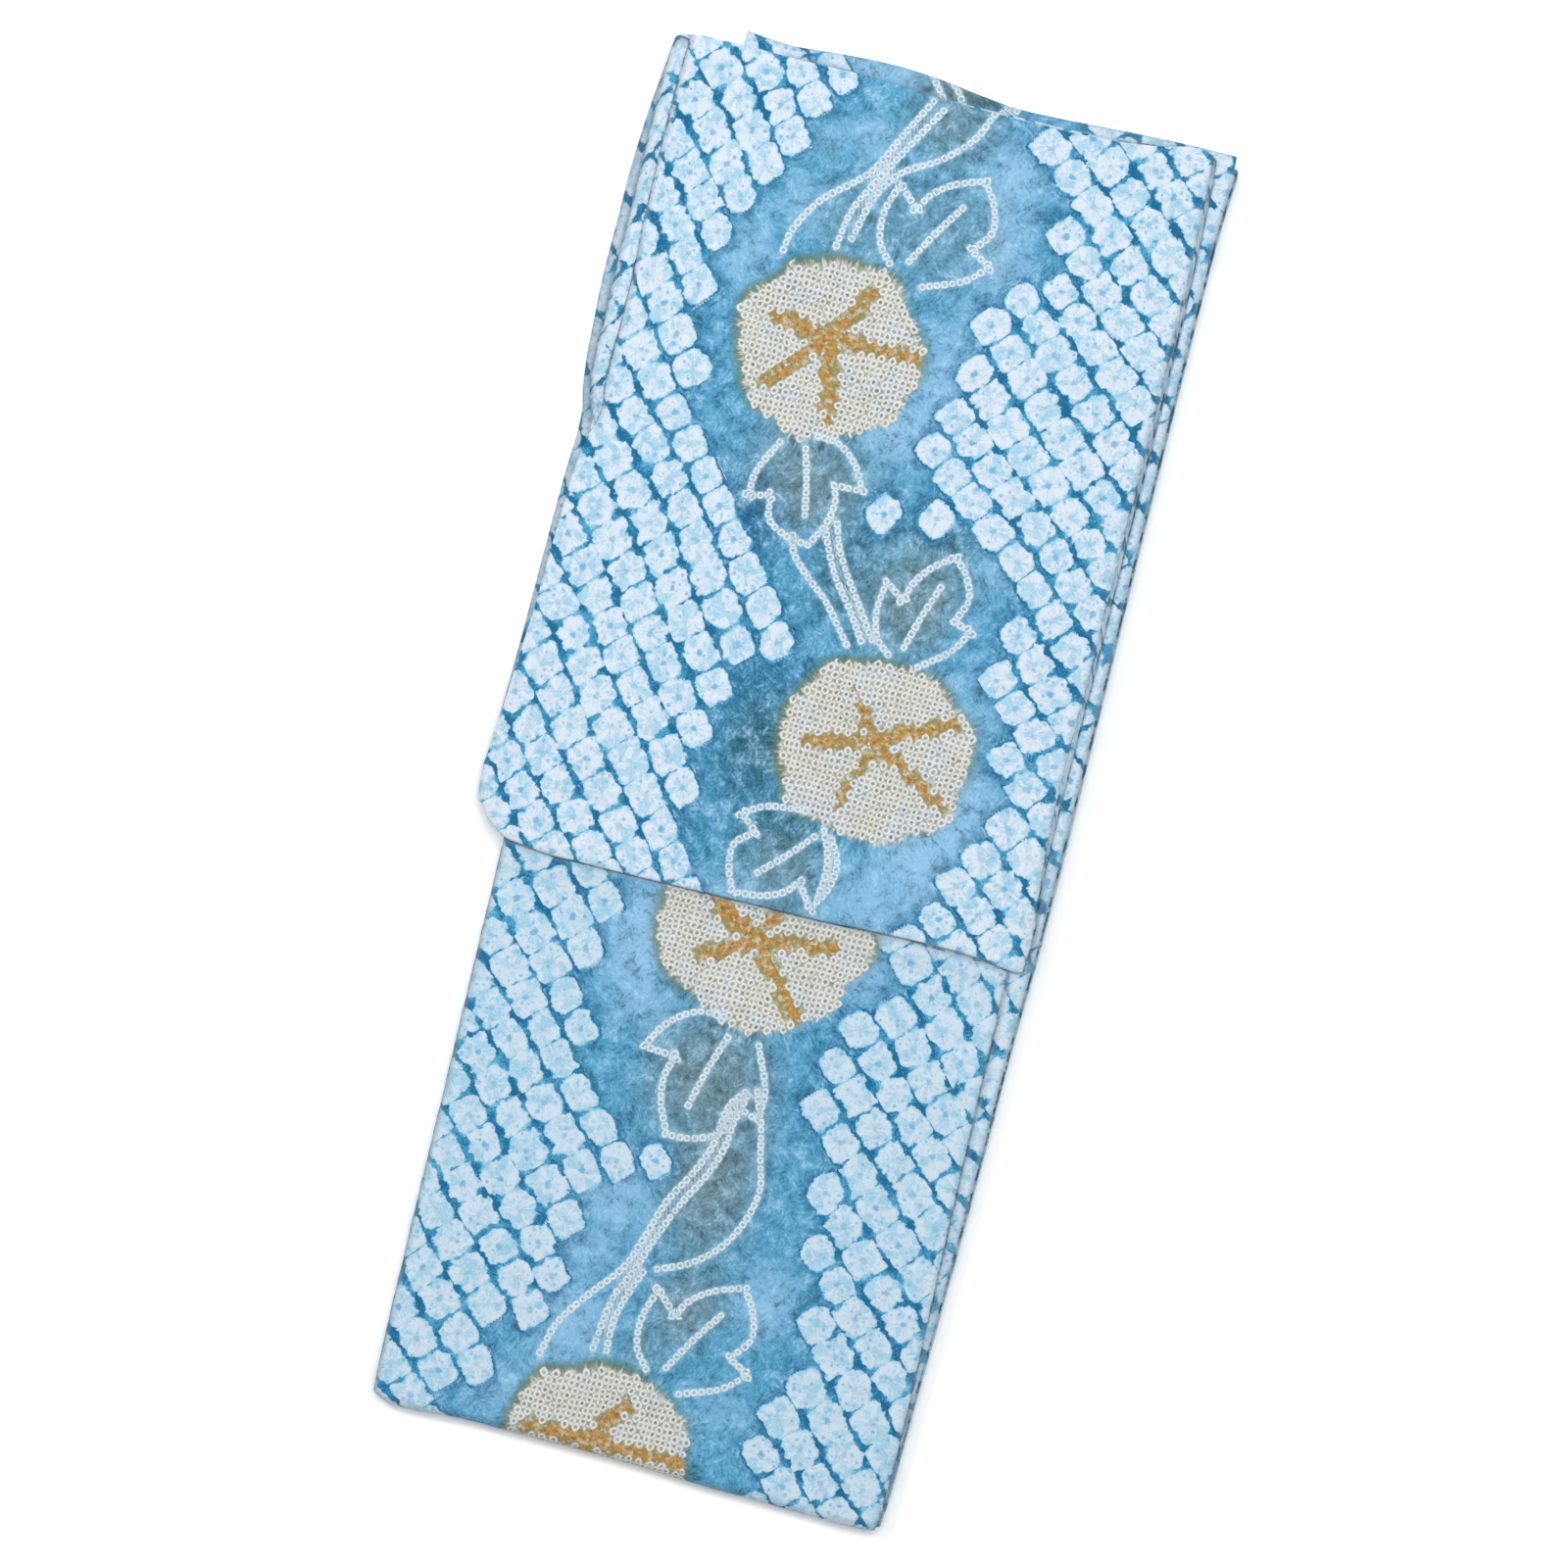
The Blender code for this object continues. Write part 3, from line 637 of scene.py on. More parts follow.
def shell(name, points, places, plan, inner, closed=False, relief=1.0, wall=PLY):
    """A thin closed shell of cloth: its outer face is the grid, its inner face has fewer columns.
    A place on its upper side tells which way is out."""
    rows, columns = points.shape[:2]
    u, v = places[..., 0].ravel(), places[..., 1].ravel()
    marks = dye(u, v, plan)
    normal = normals_of(points, closed)
    looks_down = normal[rows // 8, columns // 2, 2] < 0
    if looks_down:
        normal = -normal
    height = relief * pucker(u, v, marks) + creased(u, v, plan)
    outer = points + normal * height.reshape(rows, columns, 1)
    lining = points[:, inner] - normal[:, inner] * wall
    verts = np.concatenate([outer.reshape(-1, 3), lining.reshape(-1, 3)]) * MM
    verts[:, 2] = np.maximum(verts[:, 2], 0.0)
    own = np.arange(rows * columns).reshape(rows, columns)
    back = rows * columns + np.arange(rows * len(inner)).reshape(rows, len(inner))

    def quads(grid, turned):
        low, high = (grid, np.roll(grid, -1, axis=0)) if closed else (grid[:-1], grid[1:])
        made = stack(low[:, :-1], high[:, :-1], high[:, 1:], low[:, 1:]).reshape(-1, 4)
        return (made[:, ::-1] if turned else made).tolist()

    faces = quads(own, False) + quads(back, True)
    for edge, turned in ((0, True), (-1, False)):
        faces += quads(stack(own[:, edge], back[:, edge]), turned)
    if not closed:
        for row, turned in ((0, True), (rows - 1, False)):
            for k, (start, end) in enumerate(zip(inner, inner[1:])):
                face = [back[row, k], back[row, k + 1], *own[row, start:end + 1][::-1]]
                faces.append(face[::-1] if turned else face)
    if not looks_down:
        faces = [face[::-1] for face in faces]
    everywhere = np.concatenate([np.arange(rows * columns), own[:, inner].ravel()])
    return cloth_piece(name, verts, faces, stack(u, v)[everywhere], marks, everywhere)


def cloth_piece(name, verts, faces, place, marks, which=slice(None)):
    """A piece with the cloth's places as its UV map, in metres, and the dyer's marks and the
    painted edge shade as attributes; which tells the place whose marks each of its points has."""
    mesh = bpy.data.meshes.new(name)
    mesh.from_pydata(verts, [], faces)
    mesh.validate()
    flat = mesh.uv_layers.new(name="cloth")
    corner = np.empty(len(mesh.loops), dtype=np.int32)
    mesh.loops.foreach_get("vertex_index", corner)
    place = place * MM
    flat.data.foreach_set("uv", place[corner].astype(np.float32).ravel())
    for mark in ("ties", "bloom", "vein", "chain", "rim"):
        store = mesh.attributes.new(mark, "FLOAT_VECTOR", "POINT")
        store.data.foreach_set("vector", marks[mark][which].astype(np.float32).ravel())
    store = mesh.attributes.new("ground", "FLOAT_COLOR", "POINT")
    tint = np.concatenate([marks["ground"][which], np.ones((len(place), 1))], axis=1)
    store.data.foreach_set("color", tint.astype(np.float32).ravel())
    mesh.shade_smooth()
    piece = bpy.data.objects.new(name, mesh)
    bpy.context.scene.collection.objects.link(piece)
    return piece


# ---- the dyed cotton's shader groups


class Value:
    """A number in a shader tree.  Sums and products with it become math nodes."""

    def __init__(self, socket):
        self.socket = socket
        self.tree = socket.id_data

    def do(self, operation, *terms):
        made = put(self.tree, "ShaderNodeMath", self, *terms, operation=operation)
        return Value(made.outputs[0])

    def __add__(self, other):
        return self.do("ADD", other)

    def __sub__(self, other):
        return self.do("SUBTRACT", other)

    def __rsub__(self, other):
        return self.do("MULTIPLY", -1.0).do("ADD", other)

    def __mul__(self, other):
        return self.do("MULTIPLY", other)

    def __truediv__(self, other):
        return self.do("DIVIDE", other)

    def __rtruediv__(self, other):
        return self.do("POWER", -1.0).do("MULTIPLY", other)

    def __pow__(self, other):
        return self.do("POWER", other)

    def __abs__(self):
        return self.do("ABSOLUTE")

    def ease(self, low, high, start=0.0, end=1.0):
        """Smoothly from start to end while this goes from low to high."""
        made = put(self.tree, "ShaderNodeMapRange", self, low, high, start, end,
                   interpolation_type="SMOOTHSTEP")
        return Value(made.outputs[0])

    __radd__ = __add__
    __rmul__ = __mul__


def feed(tree, source, socket):
    """Give an input its value: another node's output, a colour or a number."""
    if isinstance(source, Value):
        source = source.socket
    if isinstance(source, bpy.types.NodeSocket):
        tree.links.new(source, socket)
    elif socket.type == "RGBA":
        socket.default_value = (*source, 1.0)
    else:
        socket.default_value = source


def adjust(node, **values):
    """Set a node's named inputs to plain values; _ stands for a space in a name."""
    for name, value in values.items():
        node.inputs[name.replace("_", " ")].default_value = value


def put(tree, kind, *feeds, **settings):
    """Add a node, set its properties and feed its inputs in order."""
    made = tree.nodes.new(kind)
    for name, value in settings.items():
        setattr(made, name, value)
    for socket, source in zip(made.inputs, feeds):
        feed(tree, source, socket)
    return made


def split(tree, vector):
    made = put(tree, "ShaderNodeSeparateXYZ", vector)
    return [Value(socket) for socket in made.outputs]


def join(tree, *parts):
    return put(tree, "ShaderNodeCombineXYZ", *parts).outputs[0]


def scaled(tree, vector, size):
    made = put(tree, "ShaderNodeVectorMath", vector, operation="SCALE")
    adjust(made, Scale=size)
    return made.outputs[0]


def noise(tree, place, scale, detail=2.0, roughness=0.5, distortion=0.0):
    """Cloudy noise at a place, about 0.5."""
    made = put(tree, "ShaderNodeTexNoise")
    for name, source in (("Vector", place), ("Scale", scale), ("Detail", detail),
                         ("Roughness", roughness), ("Distortion", distortion)):
        feed(tree, source, made.inputs[name])
    return made.outputs


def clouds(tree, place, scale, *rest):
    return Value(noise(tree, place, scale, *rest)["Fac"])


def chances(tree, *numbers):
    """Three random values from 0 to 1 for each set of whole numbers."""
    made = put(tree, "ShaderNodeTexWhiteNoise", join(tree, *numbers), noise_dimensions="3D")
    return split(tree, made.outputs["Color"])


def within(value):
    """Where a running number stands between two whole numbers, from -0.5 to 0.5."""
    return value.do("FRACT") - 0.5


def mix(tree, part, low, high):
    """Mix two colours, sockets or screen values: low where part is 0, high where it is 1."""
    made = put(tree, "ShaderNodeMix", data_type="RGBA")
    for number, source in ((0, part), (6, low), (7, high)):
        if isinstance(source, tuple):
            source = colour(*source)
        feed(tree, source, made.inputs[number])
    return made.outputs[2]


def group(name, inputs, outputs):
    """A new shader group with named sockets: its tree, its inputs by name, and its output node."""
    tree = bpy.data.node_groups.new(name, "ShaderNodeTree")
    for words, in_out in ((inputs, "INPUT"), (outputs, "OUTPUT")):
        for word, kind in words:
            tree.interface.new_socket(name=word, in_out=in_out, socket_type="NodeSocket" + kind)
    source = tree.nodes.new("NodeGroupInput")
    sink = tree.nodes.new("NodeGroupOutput")
    given = {socket.name: Value(socket) for socket in source.outputs if socket.name}
    return tree, given, sink


def give(tree, sink, **results):
    """Connect a group's results to its outputs."""
    for name, result in results.items():
        feed(tree, result, sink.inputs[name])


def place_group(tree, made, **feeds):
    """Put a group into a tree and feed its named inputs; gives its outputs by name."""
    node = tree.nodes.new("ShaderNodeGroup")
    node.node_tree = made
    for name, source in feeds.items():
        feed(tree, source, node.inputs[name])
    return {socket.name: Value(socket) for socket in node.outputs}


def read(tree, name, output):
    """An attribute of the piece, as the output called Vector, Color or Fac."""
    return put(tree, "ShaderNodeAttribute", attribute_name=name).outputs[output]


def crinkle_group():
    """Clouds of dye, feathery streaks and fine unevenness of cotton that was tied tight."""
    tree, given, sink = group("Crinkle", [("Cloth", "Vector")],
                              [("Cloud", "Float"), ("Streak", "Float"), ("Fine", "Float")])
    cloth = given["Cloth"]
    x, y, _ = split(tree, cloth)
    bend = (clouds(tree, cloth, 0.04, 1.0) - 0.5) * 22.0
    upright = join(tree, (x + bend) * 0.50, y * 0.18, 0.0)
    falling = join(tree, (x + y + bend) * 0.36, (x - y) * 0.13, 7.0)
    rising = join(tree, (x - y + bend) * 0.36, (x + y) * 0.13, 14.0)
    first, second, third = (clouds(tree, place, 1.0, 2.0, 0.55)
                            for place in (upright, falling, rising))
    which, other = clouds(tree, cloth, 0.11, 1.0), clouds(tree, cloth, 0.13, 1.0, 0.5, 1.0)
    streak = first + (second - first) * which.ease(0.44, 0.56)
    streak = streak + (third - streak) * other.ease(0.48, 0.60)
    give(tree, sink, Cloud=clouds(tree, cloth, 0.085, 3.0, 0.6, 0.4), Streak=streak,
         Fine=clouds(tree, cloth, 0.85, 3.0, 0.65))
    return tree


def ties_group():
    """Squares tied off before dyeing.  Bare is where the cloth kept its colour, Depth the way in
    from a square's edge, Stain the blots in it, Pleat and Facet its folds' shade, Gap the cloth
    between the squares of a block and Dye how much reached it."""
    tree, given, sink = group("Tied squares", [("Ties", "Vector"), ("Cloth", "Vector"),
                                               ("Fine", "Float")],
                              [("Bare", "Float"), ("Depth", "Float"), ("Stain", "Float"),
                               ("Pleat", "Float"), ("Facet", "Float"), ("Dye", "Float"),
                               ("Gap", "Float")])
    a, b, tied = split(tree, given["Ties"])
    fine, cloth = given["Fine"], given["Cloth"]
    row = b.do("FLOOR")
    for size, wave, start in STAGGER:
        a = a + (row * wave + start).do("SINE") * size
    one, two, three = chances(tree, a.do("FLOOR"), row, 0.0)
    four, five, six = chances(tree, a.do("FLOOR"), row, 5.0)
    shift_a, shift_b, crowd = split(tree, noise(tree, cloth, 0.13, 2.0)["Color"])
    fa = within(a) + (one - 0.5) * 0.06 + (shift_a - 0.5) * 0.22
    fb = within(b) + (two - 0.5) * 0.05 + (shift_b - 0.5) * 0.22
    reach = (fa * fa + fb * fb).do("SQRT")
    safe = reach.do("MAXIMUM", 0.004)
    ray_a, ray_b = fa / safe, fb / safe
    lobes = clouds(tree, join(tree, ray_a * 1.6, ray_b * 1.6, three * 60.0), 1.0, 1.0)
    pleat = clouds(tree, join(tree, ray_a * 2.8, ray_b * 2.8, reach * 1.6 + four * 60.0), 1.0, 2.0,
                   0.45)
    present = tied.ease(0.2, 0.4)
    amid = tied.ease(0.7, 0.9)
    corner = five * 1.4 + 2.7
    far = ((abs(fa) / (one * 0.05 + 0.455 + amid * 0.025)) ** corner
           + (abs(fb) / (two * 0.07 + 0.415 + amid * 0.015)) ** corner) ** (1.0 / corner)
    depth = (1.0 - far) * 9.6 + (lobes - 0.5) * 3.4 + (pleat - 0.5) * 2.6 + (fine - 0.5) * 3.2 \
        + (crowd - 0.5) * amid * 7.5
    # dye runs along the rows, and less between the squares of a row
    seep = clouds(tree, cloth, 0.07, 2.0, 0.6)
    dyed = abs(fb).ease(0.28, 0.42) * 0.50 + (seep - 0.5) * 3.4 + (fine - 0.5) * 2.4 + 0.56
    # a blot at the middle, and a few smaller ones
    blot = (reach * TIE_PITCH + (fine - 0.5) * 3.4).ease(2.6, 1.2) * (six * 0.8 + 0.3)
    x, y, _ = split(tree, cloth)
    spotted = put(tree, "ShaderNodeTexVoronoi", join(tree, x + fine * 2.2, y - fine * 2.2, 0.0),
                  voronoi_dimensions="2D")
    adjust(spotted, Scale=0.21)
    size, strong, facet = split(tree, spotted.outputs["Color"])
    spots = (Value(spotted.outputs["Distance"]) - size * 0.33).ease(0.03, -0.13) \
        * (strong * 0.6 + 0.3)
    rays = abs(pleat - 0.5).ease(0.08, 0.0) * reach.ease(0.04, 0.12) * reach.ease(0.46, 0.2) * 0.35
    stain = blot.do("MAXIMUM", spots).do("MAXIMUM", rays)
    give(tree, sink, Bare=depth.ease(-0.25, 0.40) * present, Depth=depth, Stain=stain, Pleat=pleat,
         Facet=facet, Dye=dyed, Gap=(depth + 1.6 + amid * 4.4).ease(-0.6, 0.9) * present)
    return tree


def beads_group():
    """Small knots in cells of one unit: a pale body with a bright rim round a dyed hole."""
    tree, given, sink = group("Knots", [("A", "Float"), ("B", "Float"), ("Fine", "Float")],
                              [("Body", "Float"), ("Rim", "Float"), ("Hole", "Float"),
                               ("Corner", "Float"), ("Chance", "Float")])
    one, two, three = chances(tree, given["A"].do("FLOOR"), given["B"].do("FLOOR"), 3.0)
    jog = (given["Fine"] - 0.5) * 0.30
    fa = abs(within(given["A"]) + (one - 0.5) * 0.14)
    fb = abs(within(given["B"]) + (two - 0.5) * 0.14)
    reach = (fa ** 2.4 + fb ** 2.4) ** (1 / 2.4) + jog
    size = three * 0.05 + 0.45
    give(tree, sink, Body=(reach - size).ease(0.06, -0.06), Rim=abs(reach - 0.38).ease(0.12, 0.03),
         Hole=reach.ease(0.25, 0.13) * (one * 0.4 + 0.6),
         Corner=(fa + fb + jog).ease(0.70, 0.86), Chance=three)
    return tree


CRINKLE = crinkle_group()
TIES = ties_group()
BEADS = beads_group()
RING_ALONG = (3.10, -3.60)  # from ring to ring in a flower, along its rows
RING_ACROSS = (3.44, 3.58)
WARP, WEFT = 0.62, 0.66  # spacing of the threads


def shibori_group():
    """The whole dye on the cotton, with painted shade and shadow lines along the edges: its colour
    and the height of its fine relief.  Distances are in millimetres; Cloud, Streak, Fine and the
    other noises run from 0 to 1, about 0.5."""
    tree, given, sink = group("Shibori", [("Wash", "Float")],
                              [("Color", "Color"), ("Height", "Float")])
    flat = put(tree, "ShaderNodeUVMap", uv_map="cloth").outputs["UV"]
    cloth = scaled(tree, flat, 1 / MM)
    x, y, _ = split(tree, cloth)
    crinkle = place_group(tree, CRINKLE, Cloth=cloth)
    cloud, streak, fine = crinkle["Cloud"], crinkle["Streak"], crinkle["Fine"]
    ties = place_group(tree, TIES, Ties=read(tree, "ties", "Vector"), Cloth=cloth, Fine=fine)
    bloom_x, bloom_y, inside = split(tree, read(tree, "bloom", "Vector"))
    far = (bloom_x * bloom_x + bloom_y * bloom_y).do("SQRT").do("MAXIMUM", 0.5)
    way_x, way_y = bloom_x / far, bloom_y / far
    fringe = clouds(tree, join(tree, way_x * 30.0, way_y * 30.0, far * 0.10), 1.0, 3.0, 0.65)

    # the ground: pools of dye, darker and paler along the creases, which fan out of the knots
    ground = read(tree, "ground", "Color")
    light = (streak - 0.5) * 2.6 + (cloud - 0.5) * 3.2 + (fine - 0.5) * 1.6 \
        + (fringe - 0.5) * inside.ease(-20.0, -3.0) * 2.8
    dark = scaled(tree, ground, 0.40)
    tone = mix(tree, light.ease(-0.2, 0.7) * 0.42, ground, (158, 208, 240))
    tone = mix(tree, light.ease(0.3, 1.3) * 0.55, tone, (198, 228, 244))
    tone = mix(tree, light.ease(0.1, -1.1), tone, dark)
    # between the squares of a block
    seeped = mix(tree, ties["Dye"].ease(0.0, 0.5), (150, 204, 230), (70, 158, 198))
    seeped = mix(tree, (ties["Dye"] + light * 0.45).ease(0.50, 1.25), seeped, (14, 106, 150))
    tone = mix(tree, ties["Gap"], tone, seeped)

    # the bare squares
    bare = ties["Bare"]
    shade = ties["Pleat"] + (cloud - 0.5) * 0.8 + (fine - 0.5) * 0.5 + (ties["Facet"] - 0.5) * 0.5
    shade = mix(tree, shade.ease(0.26, 0.56), (176, 215, 235), (221, 232, 243))
    shade = mix(tree, given["Wash"], shade, (150, 200, 222))
    shade = mix(tree, light.ease(-0.1, -0.9) * 0.5, shade, (142, 196, 224))
    shade = mix(tree, fine.ease(0.56, 0.70) * 0.5, shade, (232, 243, 251))
    shade = mix(tree, ties["Stain"] * 0.9, shade, (112, 178, 216))
    edge = ties["Depth"].ease(2.4, 0.0) * (fine + cloud).ease(0.86, 1.14)
    shade = mix(tree, edge * 0.7, shade, (146, 200, 230))
    tone = mix(tree, bare, tone, shade)

    # the flowers: a fringe of ochre and green, then golden veins between the ringed knots
    lean = way_y * 0.7 - way_x * 0.7 + (clouds(tree, join(tree, way_x, way_y, 2.0), 1.3, 1.0)
                                         - 0.5) * 3.0
    stain = lean.ease(-0.9, 0.7, 0.1, 1.0)
    halo = inside + (fringe - 0.5) * 16.0
    tone = mix(tree, halo.ease(-7.0, -1.0) * stain * 0.75, tone, (96, 126, 104))
    tone = mix(tree, halo.ease(-1.6, 1.0) * (stain * 0.6 + 0.05), tone, (158, 140, 92))
    bare_ground = mix(tree, light.ease(-0.5, 0.5), (150, 160, 142), (206, 212, 206))
    tone = mix(tree, halo.ease(0.0, 3.0), tone, bare_ground)
    vein, vein_x, vein_y = split(tree, read(tree, "vein", "Vector"))
    blotch, patch, worn = split(tree, noise(tree, cloth, 0.30, 3.0, 0.6)["Color"])
    gold = mix(tree, (blotch + (fine - 0.5) * 0.3).ease(0.32, 0.66), (146, 108, 42),
               (204, 152, 80))
    gold = mix(tree, (patch + vein * 0.03).ease(0.40, 0.62) * 0.9, gold, (144, 144, 96))
    gold = mix(tree, (worn + (fine - 0.5) * 0.3).ease(0.48, 0.68) * 0.8, gold, (204, 204, 184))
    near_vein = (vein + (fine - 0.5) * 3.0 + (blotch - 0.5) * 4.0).ease(5.4, 2.2)
    near_vein = near_vein * halo.ease(0.0, 2.0)
    tone = mix(tree, near_vein, tone, gold)

    # the rings stand in rows; each is there or not as a whole
    turn = RING_ALONG[0] * RING_ACROSS[1] - RING_ALONG[1] * RING_ACROSS[0]
    swing_x, swing_y, _ = split(tree, noise(tree, cloth, 0.045, 1.0)["Color"])
    rx, ry = x + swing_x * 5.0, y + swing_y * 5.0
    a = rx * (RING_ACROSS[1] / turn) - ry * (RING_ACROSS[0] / turn)
    b = ry * (RING_ALONG[0] / turn) - rx * (RING_ALONG[1] / turn)
    fa, fb = within(a), within(b)
    off_x = fa * RING_ALONG[0] + fb * RING_ACROSS[0]
    off_y = fa * RING_ALONG[1] + fb * RING_ACROSS[1]
    ring_x, ring_y = bloom_x - off_x, bloom_y - off_y
    ring_inside = inside + far - (ring_x * ring_x + ring_y * ring_y).do("SQRT")
    ring_vein = vein - (off_x * vein_x + off_y * vein_y)
    rings = place_group(tree, BEADS, A=a, B=b, Fine=fine)
    strays = rings["Chance"] * 3.6 - 1.8
    present = (ring_inside + strays).ease(0.9, 1.3) \
        * (ring_vein + strays * 1.3).ease(1.2, 1.6)
    cool = clouds(tree, cloth, 0.04, 1.0).ease(0.46, 0.60)
    cream = mix(tree, cool, (212, 215, 212), (204, 216, 228))
    cream = mix(tree, light.ease(0.0, -0.8) * 0.5, cream, (176, 182, 170))
    cream = mix(tree, rings["Rim"] * fine.ease(0.38, 0.62), cream, (240, 240, 236))
    hole = mix(tree, rings["Chance"].ease(0.2, 0.8), (102, 104, 88), (146, 116, 78))
    cream = mix(tree, rings["Hole"] * 0.9, cream, hole)
    knot = (rings["Body"] * 0.6 + 0.4) * (1.0 - rings["Corner"] * 0.85) * present
    # the dark of the ground shows most between the rows
    rows_gap = abs(fb).ease(0.38, 0.48) * (cloud + fine).ease(0.85, 1.15)
    filled = present * (1.0 - rows_gap * 0.8)
    tone = mix(tree, filled, tone, mix(tree, patch.ease(0.40, 0.62), (172, 176, 160),
                                       (136, 128, 98)))
    tone = mix(tree, rows_gap * present * 0.6, tone, (140, 132, 100))
    tone = mix(tree, knot, tone, cream)

    # the leaves' outlines and the stems: one row of ringed knots
    along, sideways, away = split(tree, read(tree, "chain", "Vector"))
    beside = abs(sideways).do("MAXIMUM", away - 0.8)
    dots = place_group(tree, BEADS, A=along, B=beside / KNOT_PITCH + 0.5, Fine=fine)
    lane = beside.ease(KNOT_PITCH * 0.5, KNOT_PITCH * 0.46)
    glow = (beside + (fine - 0.5) * 2.0).ease(3.6, 1.6)
    tone = mix(tree, glow * 0.3, tone, (176, 206, 222))
    thread = mix(tree, dots["Rim"] * fine.ease(0.35, 0.60), (200, 219, 230),
                 (232, 242, 247))
    thread = mix(tree, dots["Hole"] * 0.8, thread, (122, 156, 170))
    chain = (dots["Body"] * 0.85 + 0.15) * lane \
        * (fine + dots["Chance"] * 0.3).ease(0.30, 0.55, 0.4, 1.0)
    tone = mix(tree, chain, tone, thread)

    # painted shade and painted shadow lines along the edges where one ply lies over another or
    # rolls under, and along seams: a grey band of painted shade within about 4 mm of each line and
    # a broken dark shadow line on it
    away, run, dark = split(tree, read(tree, "rim", "Vector"))
    dashes = clouds(tree, join(tree, run * 0.11, away * 0.35, 3.0), 1.0, 2.0)
    dashes = dashes.ease(0.44, 0.55, 0.2, 1.0)
    tone = mix(tree, away.ease(4.2, 0.2) * dark * 0.6, tone, (124, 150, 164))
    tone = mix(tree, (away + (fine - 0.5) * 1.2).ease(1.0, 0.25) * dark * dashes, tone,
               (36, 76, 104))

    # fine relief of the crushed cotton and its plain weave
    warp, weft = (x * (math.tau / WARP)).do("SINE"), (y * (math.tau / WEFT)).do("SINE")
    weave = warp * weft * 0.03
    height = streak * 0.6 + fine * 0.35 + ties["Pleat"] * bare * 0.45 \
        + (knot - rings["Hole"] * knot) * 0.25 + chain * 0.25 + weave
    give(tree, sink, Color=tone, Height=height)
    return tree


SHIBORI = shibori_group()


def dyed_cotton(name, wash=0.0):
    """Matt cotton that takes its colour and relief from the dyer's marks on the piece.  wash is
    how much blue has run into its tied squares."""
    material = bpy.data.materials.new(name)
    material.use_nodes = True
    tree = material.node_tree
    shader = tree.nodes["Principled BSDF"]
    dyed = place_group(tree, SHIBORI, Wash=wash)
    bump = tree.nodes.new("ShaderNodeBump")
    adjust(bump, Strength=0.8, Distance=0.35 * MM)
    feed(tree, dyed["Color"], shader.inputs["Base Color"])
    feed(tree, dyed["Height"], bump.inputs["Height"])
    tree.links.new(bump.outputs["Normal"], shader.inputs["Normal"])
    adjust(shader, Roughness=0.88, Specular_IOR_Level=0.25, Sheen_Weight=0.12, Sheen_Roughness=0.5)
    return material


EDGE_STEPS = np.array([0.0, 0.25, 0.7, 1.3, 2.1, 3.1, 4.3])  # places close to an edge


def spread(width):
    """Shares from 0 to 1 of a width, closer at both edges."""
    middle = steps(EDGE_STEPS[-1], width - EDGE_STEPS[-1], FINE)
    return np.array([*EDGE_STEPS[:-1], *middle, *(width - EDGE_STEPS[:-1])[::-1]]) / width


def edge_line(sides, across, along="y", shift=0.0, above=-np.inf):
    """The places of one of a table's edges, moved sideways."""
    return [(x + shift, y) for x, y in zip(sides[across], sides[along]) if y > above]


def few(count, keep):
    """Numbers of the inner face's columns: the ones near both edges and a few between."""
    near = len(EDGE_STEPS)
    inside = np.linspace(near, count - 1 - near, keep).astype(int)
    return sorted({*range(near), *inside, *range(count - near, count)})


BACK_WIDTH = 311.0
LINING_COLUMNS = 10


def back_columns(y):
    left, right = side(y, "left") + 0.15, side(y, "back_right")
    return (left + spread(BACK_WIDTH) * (right - left)).ravel()


SLEEVE_END = [(-166, -66), (-156, -73.5), (-141, -76.6), (-100, -78.5), (43, -78.5), (93, -77.2),
              (143, -79.6), (158, -81.5)]  # where the upper sleeve's lower edge crosses the body
# Lines along which shade and a dark shadow line are painted: under the upper sleeve's lower edge,
# along the back panel's right edge and along the body's left edge.
BODY_PLAN["edges"] = [
    ([(x, y - 0.4) for x, y in SLEEVE_END], 0.8),
    (edge_line(BODY_SIDES, "back_right"), 0.5),
    (edge_line(BODY_SIDES, "left"), 0.9),
]
rows = body_rows(409.0, -62.0, 407.0, turns=18)
points, places = body_grid(rows, back_columns, 0.0)
back_cloth = shell("back_cloth", points, places, BODY_PLAN, few(points.shape[1], LINING_COLUMNS))
back_cloth.data.materials.append(dyed_cotton("back_cotton", 0.22))
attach(back_cloth, "root")
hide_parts("back_panel")

# ----------------------------------------------------------------------------- front panel
# The ply under the back panel, of the same cotton.  It shows as a strip along the right side and
# at the shoulder's corner, and goes round the waist fold inside the back panel.


FRONT_STRIP = 26.0  # how much of it is finely divided, from its right edge


def front_columns(y):
    left, right = side(y, "left") + 12.0, side(y, "right")
    hidden = np.linspace(0.0, 1.0, 9)[:-1]
    near_edge = FRONT_STRIP - np.array([4.3, 3.1, 2.1, 1.3, 0.7, 0.3, 0.0])
    visible = right - FRONT_STRIP + np.concatenate([np.arange(0.0, 21.0, FINE), near_edge])
    return np.concatenate([left + hidden * (right - FRONT_STRIP - left), visible])


rows = body_rows(411.5, 411.5, -202.0, turns=14)
points, places = body_grid(rows, front_columns, PITCH)
FRONT_PLAN = {
    **PLAIN_PLAN,
    "blocks": [block((168.0, 190.0), (15.0, -14.4), (15.4, 16.2))],
}
SLEEVE_SIDE = [(160.2, 410), (162.2, 340), (160.8, 150), (160.2, 88), (158.8, 28), (159.2, 8),
               (161.5, -32), (164.2, -61), (163.0, -80)]  # the upper sleeve's edge on this strip
